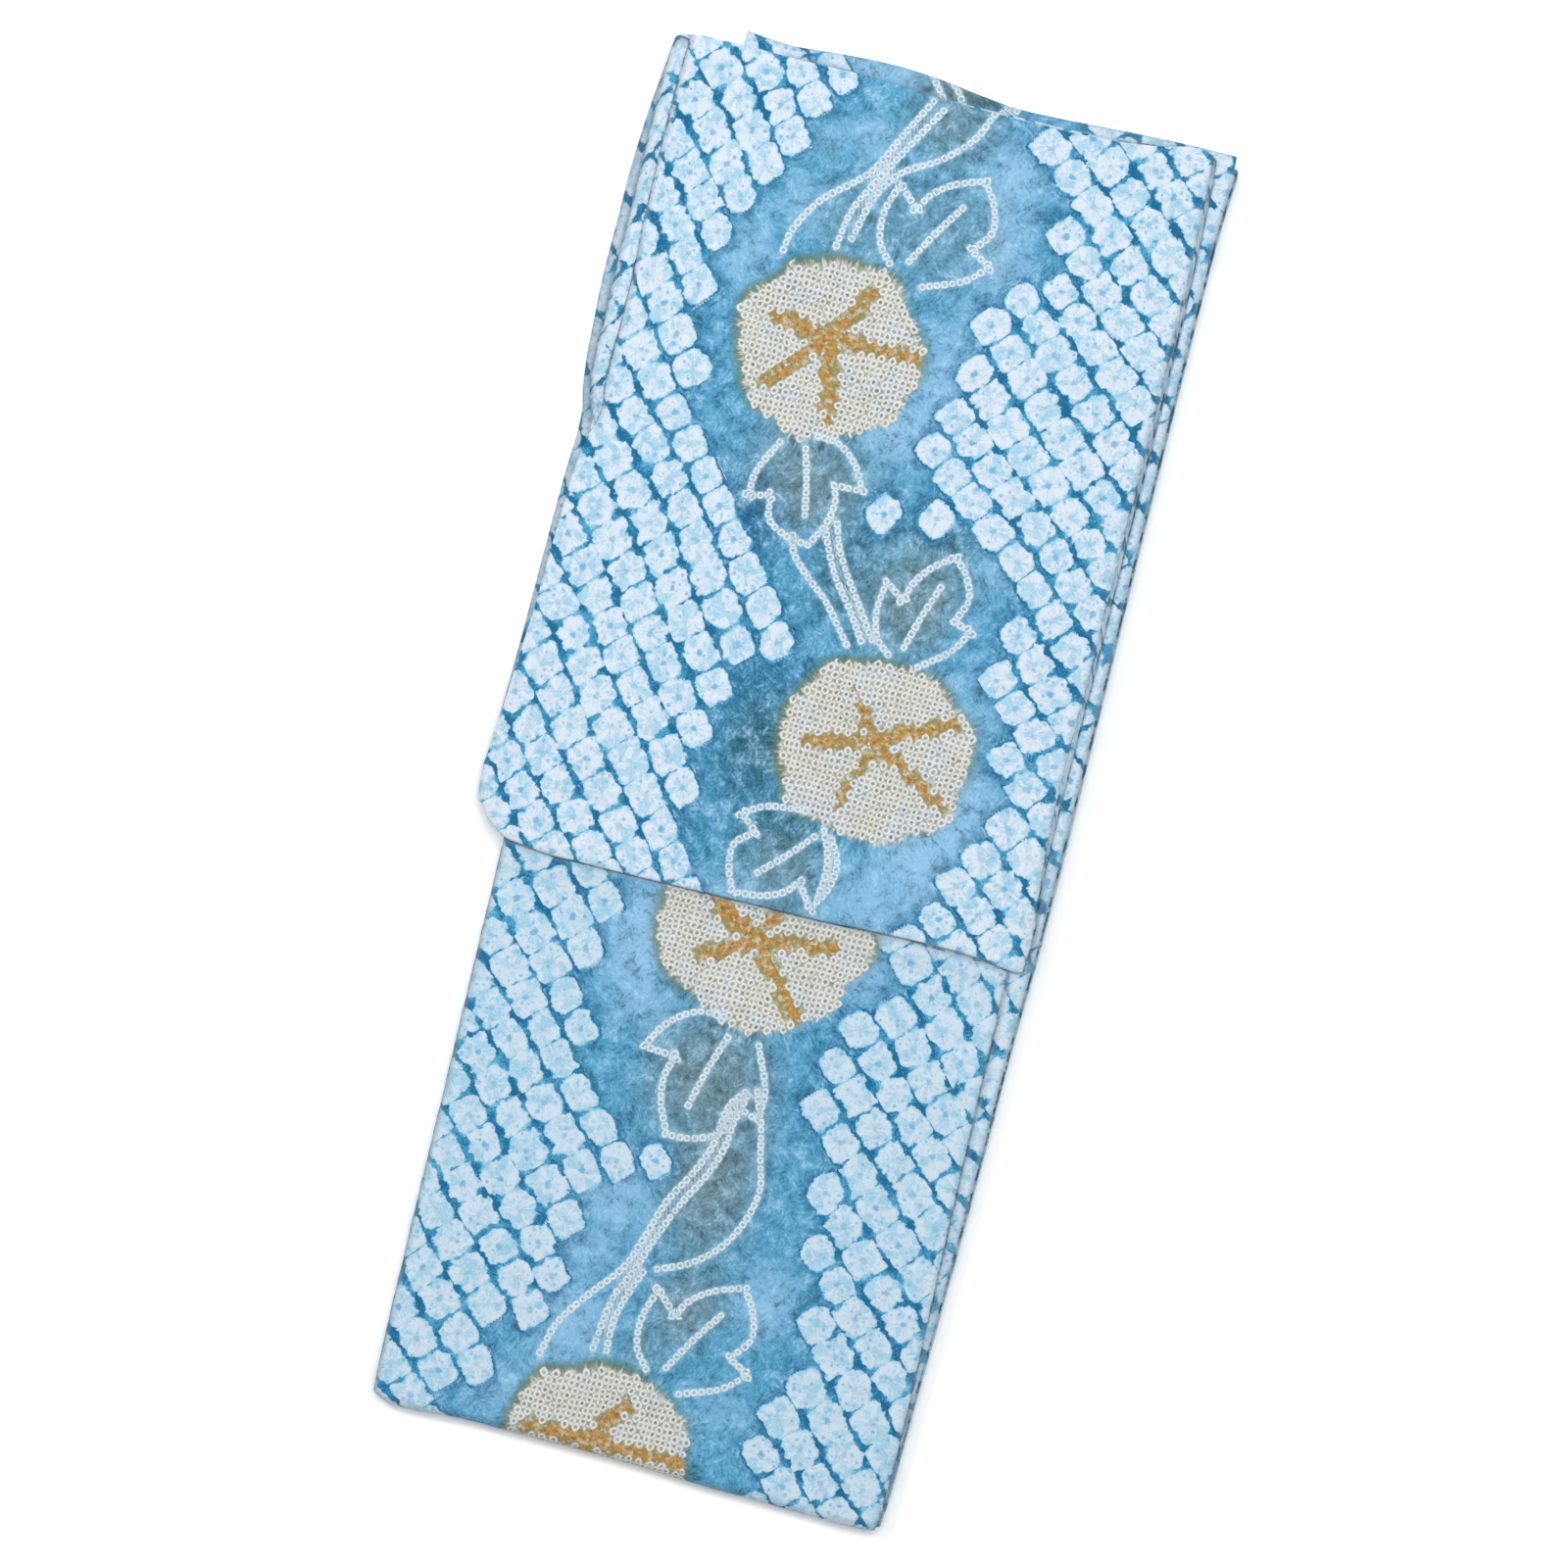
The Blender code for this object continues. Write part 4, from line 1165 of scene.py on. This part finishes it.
# Lines along which shade and a dark shadow line are painted: the upper sleeve's shadow beside its
# edge, the back panel's edge below the sleeve, and the strip's rounded outer edge.
FRONT_PLAN["edges"] = [
    ([(x + 0.9, y) for x, y in SLEEVE_SIDE], 1.0),
    ([place for place in edge_line(BODY_SIDES, "back_right", shift=0.6) if place[1] < -90][::-1]
     + [(156.0, -84)], 0.7),
    (edge_line(BODY_SIDES, "right", shift=-1.3), 1.0),
]
count = points.shape[1]
front_cloth = shell("front_cloth", points, places, FRONT_PLAN,
                    [*range(0, 8, 2), 8, 12, 16, 20, *range(count - 6, count)])
front_cloth.data.materials.append(dyed_cotton("front_cotton", 0.10))
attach(front_cloth, "root")
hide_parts("front_panel")

# ------------------------------------------------------------------------------ inner plies
# The skirt, fronts, overlaps, collar and facings inside the fold.  They are the same cotton, and
# only their edges show, one above the other.

HIDDEN_PLIES = 7
HIDDEN_FLOOR = 2 * PITCH
GROOVE = 1.3  # depth of the valley between two plies
LEDGE_PLY = 5  # the hem strip lies on this many plies
HIDDEN = table("left right end", [
    (2.6, 3.4, 411.0),
    (1.4, 1.6, 414.5),
    (0.7, 0.9, 412.5),
    (1.6, 0.6, 415.5),
    (0.8, 1.3, 414.0),
    (2.2, 1.8, 406.0),
    (3.6, 3.0, 405.0),
])
# Rows near the plies' two ends: the way to the end, and how far the corners are cut back.
NOSE_ROWS = [(0.5, 9.0, 9.0), (1.7, 5.0, 5.0), (3.9, 2.0, 2.0), (7.0, 0.5, 0.5), (12.0, 0.0, 0.0)]
END_ROWS = [(10.0, 0.0, 0.0), (6.0, 24.0, 0.0), (3.0, 26.0, 1.5), (0.0, 29.0, 3.0)]


# Heights in a ply, from 0 to 1, and how far its face stands back there: each ply is rounded.
PLY_PROFILE = ((0.16, 0.3), (0.36, 0.0), (0.64, 0.0), (0.84, 0.3))


def hidden_height(level):
    return HIDDEN_FLOOR + level * (BODY_HEIGHT - 2 * HIDDEN_FLOOR) / HIDDEN_PLIES


def hidden_point(level, inset, ply, row, part):
    """A point of the plies: row runs along the stack, part runs across it from 0 to 1."""
    height = hidden_height(level)
    kind, place, corner_left, corner_right = row
    y = place
    if kind == "nose":
        nose = NOSE - math.sqrt(max((NOSE - HIDDEN_FLOOR) ** 2 - (height - NOSE) ** 2, 0.0))
        y = WAIST_MIDDLE + nose + inset + place
    elif kind == "end":
        y = HIDDEN["end"][ply] - inset - place
    # the plies' edges wander a little, each in its own way
    wave = 0.35 * math.sin(3 * math.tau * y / 840.0 + 2.0 * ply) + 0.25 * math.sin(y / 11.0 + ply)
    left = side(y, "left") + HIDDEN["left"][ply] + inset + corner_left + wave
    right = side(y, "right") - HIDDEN["right"][ply] - inset - corner_right + wave
    x = left + part * (right - left)
    if kind == "nose":
        y += waist_fold(x) - WAIST_MIDDLE
    sink = right_drop(x, y) * (height / BODY_HEIGHT) ** 2
    return (x, y, lift(y) + height - sink), (x + 3.0 * level, y - 2.0 * level)


def stack_mesh(name):
    """One closed solid, layered at its edges like the plies that it stands for."""
    rows = [("nose", *place) for place in NOSE_ROWS]
    rows += [("run", y, 0.0, 0.0) for y in steps(-396.0, 398.0, 5.0)]
    rows += [("end", *place) for place in END_ROWS]
    parts = np.linspace(0.0, 1.0, 40)
    rings = [(0.0, GROOVE, 0)]
    for ply in range(HIDDEN_PLIES):
        rings += [(ply + level, inset, ply) for level, inset in PLY_PROFILE]
        if ply + 1 < HIDDEN_PLIES:
            rings.append((ply + 1.0, GROOVE, ply))
            if ply + 1 == LEDGE_PLY:
                rings.append((ply + 1.0, GROOVE, ply + 1))
    rings.append((float(HIDDEN_PLIES), GROOVE, HIDDEN_PLIES - 1))
    last_row, last_part = len(rows) - 1, len(parts) - 1
    border = [(r, 0) for r in range(last_row)] + [(last_row, p) for p in range(last_part)]
    border += [(last_row - r, last_part - p) for r, p in border]
    verts, places, faces = [], [], []

    def vertex(ring, r, p):
        point, place = hidden_point(*ring, rows[r], parts[p])
        verts.append(point)
        places.append(place)
        return len(verts) - 1

    loops = [{spot: vertex(ring, *spot) for spot in border} for ring in rings]
    for low, high in zip(loops, loops[1:]):
        for spot, other in zip(border, border[1:] + border[:1]):
            faces.append((low[spot], high[spot], high[other], low[other]))
    for ring, loop, turned in ((rings[0], loops[0], False), (rings[-1], loops[-1], True)):
        for r in range(last_row):
            for p in range(last_part):
                corners = [(r, p), (r + 1, p), (r + 1, p + 1), (r, p + 1)]
                for spot in corners:
                    if spot not in loop:
                        loop[spot] = vertex(ring, *spot)
                face = [loop[spot] for spot in corners]
                faces.append(face[::-1] if turned else face)
    places = np.array(places)
    return cloth_piece(name, np.array(verts) * MM, faces, places, dye(*places.T, PLAIN_PLAN))


inner_plies = stack_mesh("inner_plies")
inner_plies.data.materials.append(dyed_cotton("inner_cotton"))
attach(inner_plies, "root")
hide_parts("hidden_layers")

# -------------------------------------------------------------------------------- hem strip
# The skirt's hem, a turned and blind-stitched edge of the same cotton.  It comes out past the
# shoulders, under the upper sleeve, with the vine's stems running over it.

HEM_EDGE = table("x y", [
    (-126.0, 424.0),
    (-112.0, 422.4),
    (-97.0, 421.5),
    (-82.0, 422.6),
    (-67.0, 423.6),
    (-47.0, 424.5),
    (-27.0, 424.2),
    (-7.0, 422.5),
    (13.0, 419.6),
    (38.0, 416.6),
    (63.0, 416.6),
    (93.0, 417.9),
    (123.0, 419.0),
    (150.0, 419.5),
    (173.5, 419.3),
])
HEM_BACK = 408.7
HEM_AIR = 0.4  # between the strip and the plies it lies on
HEM_THICKNESS = 1.2
HEM_TURN = 0.6  # radius of the hem's fold
HEM_PLAN = {
    **PLAIN_PLAN,
    "stems": [
        [(-16, 428), (-10, 420), (-4, 412), (0, 404)],
        [(-10, 430), (2, 420), (8, 412), (14, 402)],
        [(40, 428), (36, 418), (30, 408), (24, 400)],
        [(46, 428), (42, 418), (36, 408), (30, 400)],
    ],
    "pools": [
        (-44, 418, 30, 30, sky, 1.0), (8, 418, 30, 30, grey, 1.0), (26, 418, 16, 30, teal, 0.8),
        (62, 418, 16, 30, blue, 0.8), (-127, 424, 5, 5, ochre, 1.0),
    ],
    "blocks": [
        block((-100.0, 417.0), (14.2, -15.6), (16.0, 14.2), -1, [(300, -60), (500, -60)]),
        block((96.0, 415.0), (15.0, -13.4), (15.6, 16.4), 1, [(300, 80), (500, 80)]),
    ],
}


def hem_points():
    xs = steps(-126.0, 173.5, FINE)
    edge = follow(xs, HEM_EDGE["x"], HEM_EDGE["y"])
    height = hidden_height(LEDGE_PLY) + HEM_AIR + HEM_THICKNESS
    top = lift(HEM_BACK) + height - right_drop(xs, HEM_BACK) * (height / BODY_HEIGHT) ** 2
    fold = edge - 0.9  # where the flat of the strip ends and its fold begins
    points, places = [], []
    for share in np.linspace(0.0, 1.0, 12):
        ys = HEM_BACK + share * (fold - HEM_BACK)
        points.append(stack(xs, ys, top - 0.15 * smooth_step(ys, edge - 3.0, edge)))
        places.append(stack(xs, ys))
    for turn in (0.15, 0.35, 0.6, 0.85, 1.0):
        angle = turn * math.pi
        points.append(stack(xs, fold + HEM_TURN * math.sin(angle),
                            top - 0.75 + HEM_TURN * math.cos(angle)))
        places.append(stack(xs, edge + 2.0 * turn))
    return np.array(points[::-1]), np.array(places[::-1])


# Lines along which shade and a dark shadow line are painted: under the upper sleeve's top fold, and
# along the hem's own folded edge.
HEM_PLAN["edges"] = [
    ([(-100, 414), (-57, 414), (-7, 411), (43, 409.8), (93, 410.5), (129, 414.5), (143, 417.5)],
     0.8),
    (edge_line(HEM_EDGE, "x"), 0.35),
]
points, places = hem_points()
hem = shell("hem", points, places, HEM_PLAN, list(range(points.shape[1])), relief=0.8, wall=0.45)
hem.data.materials.append(dyed_cotton("hem_cotton"))
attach(hem, "root")
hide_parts("hem_strip")

# ----------------------------------------------------------------------------- lower sleeve
# A sleeve is a tube of cotton pressed flat: a fold along the arm, a seam along the other edge
# with a rounded corner, and an opening for the hand.  This one lies under the body.

LOWER_LEFT = table("y front back", [
    (-30.0, -175.2, -174.4),
    (-12.0, -174.8, -174.0),
    (8.0, -173.8, -173.0),
    (38.0, -172.8, -172.0),
    (98.0, -171.5, -170.7),
    (148.0, -170.1, -169.3),
    (173.0, -168.8, -168.0),
    (184.0, -169.3, -168.2),
    (196.0, -171.8, -169.6),
    (213.0, -173.8, -171.4),
    (238.0, -175.0, -172.6),
    (258.0, -175.8, -173.4),
    (298.0, -175.3, -173.0),
    (328.0, -174.8, -172.6),
    (368.0, -172.3, -170.3),
    (388.0, -170.0, -168.2),
    (411.0, -167.2, -165.8),
])
LOWER_RIGHT = table("y front back", [
    (-70.0, 154.0, 153.0),
    (412.0, 154.0, 153.0),
])
LOWER_ENDS = table("x bottom top", [
    (-175.2, -30.0, 411.5),
    (-173.6, -42.0, 411.8),
    (-169.0, -54.0, 411.9),
    (-160.0, -63.0, 411.9),
    (-143.0, -68.5, 411.9),
    (-110.0, -70.0, 411.5),
    (0.0, -70.0, 408.0),
    (154.0, -70.0, 408.0),
])


OVER_FOLD = 3.7  # cloth that goes round the fold along the arm
LEANS = (0.25, 0.5, 0.75)  # places round a fold, from 0 on a ply to 1 half way to the other


def sleeve_grid(left, right, ends, rest, columns, shares, hidden_shares):
    """Points and cloth places of a flat tube: up the front ply, over the fold along the arm, down
    the back ply and round the seam.  columns and shares run from 0 to 1."""
    turn = SLEEVE_HEIGHT / 2
    first, last = ends["x"][0], ends["x"][-1]
    x = first + columns * (last - first)
    bottom = follow(x, ends["x"], ends["bottom"]) + turn
    top = follow(x, ends["x"], ends["top"]) - turn
    points, places = [], []

    def row(share, ply, lean=0.0, at_top=True):
        """A row of the tube.  lean takes it round the fold at the top or the seam."""
        y = bottom + share * (top - bottom)
        low = follow(y, left["y"], left[ply])
        high = follow(y, right["y"], right[ply])
        if lean:
            other = "back" if ply == "front" else "front"
            low = low + lean / 2 * (follow(y, left["y"], left[other]) - low)
            high = high + lean / 2 * (follow(y, right["y"], right[other]) - high)
        place = low + columns * (high - low)
        rise = turn * math.cos(lean * math.pi / 2)
        reach = turn * math.sin(lean * math.pi / 2)
        out_y = y + (reach if at_top else -reach)
        height = rest(place, y) + turn + (rise if ply == "front" else -rise)
        points.append(stack(place, out_y, height))
        places.append(stack(place, out_y if ply == "front" else 2 * top + OVER_FOLD - out_y))

    for run, end, ply, other in ((shares, 1.0, "front", "back"),
                                 (hidden_shares[::-1], 0.0, "back", "front")):
        for share in run:
            row(share, ply)
        for lean in (*LEANS, 1.0):
            row(end, ply, lean, at_top=end == 1.0)
        for lean in LEANS[::-1]:
            row(end, other, lean, at_top=end == 1.0)
    return np.array(points), np.array(places)


LOWER_PLAN = {
    **PLAIN_PLAN,
    "blocks": [block((-166.0, 120.0), (13.4, -15.8), (15.8, 14.6))],
}
# Lines along which shade and a dark shadow line are painted: under the upper sleeve's back ply, and
# along this sleeve's left edge.
LOWER_PLAN["edges"] = [
    ([(-167, 408), (-168, 340), (-168.5, 263), (-169, 212), (-167, 198), (-163, 184)], 0.85),
    (edge_line(LOWER_LEFT, "front"), 0.5),
]
LOWER_PLAN["creases"] = [
    (-40, 700, 12, 200, 9, -0.30), (60, 560, -10, 180, 8, -0.25), (-100, 880, 70, 160, 8, -0.25),
]
LOWER_WIDTH = 329.2
LOWER_DEPTH = 470.0
near_edge = np.concatenate([[0.0, 0.3, 0.8, 1.5, 2.3, 3.3], np.arange(4.7, 24.0, FINE)])
columns = np.concatenate([near_edge, np.linspace(24.5, LOWER_WIDTH, 30)]) / LOWER_WIDTH
shares, hidden_shares = (steps(0.0, 1.0, size / LOWER_DEPTH) for size in (FINE, 5.0))
points, places = sleeve_grid(LOWER_LEFT, LOWER_RIGHT, LOWER_ENDS, lambda x, y: 0.0 * x,
                             columns, shares, hidden_shares)
count = points.shape[1]
lower_sleeve = shell("lower_sleeve", points, places, LOWER_PLAN,
                     [0, 1, 2, 4, 6, 10, 16, *range(20, count - 2, 4), count - 2, count - 1],
                     closed=True, relief=0.6)
lower_sleeve.data.materials.append(dyed_cotton("lower_sleeve_cotton"))
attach(lower_sleeve, "root")
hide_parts("sleeve_lower")

# ----------------------------------------------------------------------------- upper sleeve
# The other sleeve, folded over onto the body, so that its vine meets the back panel's.  It is
# the same flat tube, and its two plies part at the opening for the hand.

UPPER_LEFT = table("y front back", [
    (-37.5, -176.75, -175.6),
    (-27.0, -175.8, -174.8),
    (-2.0, -173.6, -172.6),
    (28.0, -171.2, -170.2),
    (68.0, -168.4, -167.4),
    (98.0, -167.3, -166.3),
    (118.0, -166.3, -165.3),
    (148.0, -164.8, -163.8),
    (168.0, -161.4, -160.6),
    (176.0, -159.2, -159.4),
    (182.5, -157.4, -162.6),
    (188.0, -157.4, -165.0),
    (198.0, -158.7, -167.0),
    (212.0, -158.8, -168.8),
    (238.0, -158.2, -167.9),
    (263.0, -157.8, -168.3),
    (300.0, -159.3, -168.0),
    (340.0, -159.6, -168.0),
    (398.0, -158.6, -167.6),
    (404.0, -158.2, -167.2),
    (408.0, -157.9, -166.9),
    (412.0, -157.5, -166.5),
])
UPPER_RIGHT = table("y front back", [
    (-80.0, 163.0, 161.6),
    (-61.0, 164.2, 162.4),
    (-32.0, 161.5, 162.4),
    (8.0, 159.2, 162.0),
    (28.0, 158.8, 162.2),
    (88.0, 160.2, 163.2),
    (150.0, 160.8, 163.6),
    (340.0, 162.2, 164.8),
    (398.0, 160.8, 163.0),
    (414.0, 160.2, 162.0),
])
UPPER_ENDS = table("x bottom top", [
    (-176.75, -37.5, 411.5),
    (-175.8, -48.5, 412.4),
    (-171.8, -58.5, 413.6),
    (-166.5, -66.0, 414.4),
    (-155.8, -73.5, 414.6),
    (-141.0, -76.6, 414.4),
    (-100.0, -78.5, 414.0),
    (-57.0, -78.5, 414.0),
    (-7.0, -78.5, 411.0),
    (43.0, -78.5, 409.8),
    (93.0, -77.2, 410.5),
    (129.0, -78.0, 414.5),
    (143.0, -79.6, 417.5),
    (153.5, -80.9, 418.5),
    (158.0, -81.5, 417.5),
    (160.5, -81.4, 416.5),
    (163.0, -80.6, 414.5),
])


SAG = 0.018  # the cloth past the body's left side hangs like this times the distance squared
SAG_REACH = 17.0  # and straight from here


def upper_rest(x, y):
    """What the upper sleeve lies on: the body's top, and the air past its left side."""
    over_left = side(y, "left") + 1.0 - x
    near = np.clip(over_left, 0.0, SAG_REACH)
    sag = SAG * near ** 2 + 2 * SAG * SAG_REACH * np.maximum(0.0, over_left - SAG_REACH)
    edge = side(y, "back_right")
    step = PITCH * smooth_step(x, edge + 1.6, edge + 7.0)
    top = lift(y) + BODY_HEIGHT - shoulder_sag(y) - sag - step
    return top - right_drop(x, y) + PITCH - 1.0


TURNED_ABOUT = 824.3  # y on the front ply and y of the back ply's cloth add up to this


def turned_over(line):
    """A line of the front ply carried round the fold to the back ply's cloth."""
    return [(x, TURNED_ABOUT - y) for x, y in line]


OPENING = 170.0  # from here up the two plies part
# Lines along which shade and a dark shadow line are painted: the plies' edges at the opening, where
# the front ply lies over the back ply, along both plies' right edges and along the lower edge.
SLEEVE_PLAN["edges"] = [
    (edge_line(UPPER_LEFT, "front", above=OPENING), 0.8),
    (turned_over(edge_line(UPPER_LEFT, "front", shift=-0.4, above=OPENING)), 0.9),
    (turned_over(edge_line(UPPER_LEFT, "back", above=OPENING)), 0.6),
    (edge_line(UPPER_RIGHT, "front"), 0.5),
    (turned_over(edge_line(UPPER_RIGHT, "back")), 1.0),
    (edge_line(UPPER_ENDS, "x", "bottom"), 0.25),
]
UPPER_WIDTH = 339.75
UPPER_DEPTH = 492.0
shares, hidden_shares = (steps(0.0, 1.0, size / UPPER_DEPTH) for size in (FINE, COARSE))
points, places = sleeve_grid(UPPER_LEFT, UPPER_RIGHT, UPPER_ENDS, upper_rest, spread(UPPER_WIDTH),
                             shares, hidden_shares)
upper_sleeve = shell("upper_sleeve", points, places, SLEEVE_PLAN,
                     few(points.shape[1], LINING_COLUMNS), closed=True)
upper_sleeve.data.materials.append(dyed_cotton("upper_sleeve_cotton"))
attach(upper_sleeve, "root")
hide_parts("sleeve_upper")

# -------------------------------------------------------------------- surface, light, camera
# The robe lies on a plain pale surface under wide soft lights, seen from straight above.

bpy.ops.object.select_all(action="DESELECT")
bpy.ops.mesh.primitive_plane_add(size=8.0, location=(0.0, 0.0, -0.0002))
floor = bpy.context.active_object
floor.name = "floor"
paper = bpy.data.materials.new("pale_surface")
paper.use_nodes = True
adjust(paper.node_tree.nodes["Principled BSDF"], Base_Color=(0.97, 0.97, 0.97, 1.0), Roughness=1.0,
       Specular_IOR_Level=0.0)
floor.data.materials.append(paper)


def lamp(name, place, size, power):
    """A round soft light that looks at the robe's middle."""
    light = bpy.data.lights.new(name, "AREA")
    light.shape = "DISK"
    light.size = size
    light.energy = power
    made = bpy.data.objects.new(name, light)
    made.location = place
    x, y, z = place
    made.rotation_euler = (math.atan2(math.hypot(x, y), z), 0.0, math.atan2(-y, -x) - math.pi / 2)
    bpy.context.scene.collection.objects.link(made)


lamp("overhead", (0.3, 0.8, 3.2), 2.6, 82.0)
lamp("key", (-1.7, 0.9, 2.5), 0.8, 30.0)
world = bpy.data.worlds.new("studio")
world.use_nodes = True
adjust(world.node_tree.nodes["Background"], Color=(1.0, 1.0, 1.0, 1.0), Strength=0.41)
bpy.context.scene.world = world
bpy.context.scene.view_settings.view_transform = "Standard"

VIEW_WIDTH = 0.928  # what the camera takes in at the height of the robe's upper side
ROBE_HEIGHT = 0.018
CAMERA_HEIGHT = 3.2
VIEW_TURN = 13.56
camera_data = bpy.data.cameras.new("camera")
camera_data.sensor_width = 36.0
camera_data.lens = camera_data.sensor_width * (CAMERA_HEIGHT - ROBE_HEIGHT) / VIEW_WIDTH
camera_data.clip_end = 50.0
camera = bpy.data.objects.new("camera", camera_data)
camera.location = (-0.0004, -0.005, CAMERA_HEIGHT)
camera.rotation_euler = (0.0, 0.0, math.radians(VIEW_TURN))
bpy.context.scene.collection.objects.link(camera)
bpy.context.scene.camera = camera
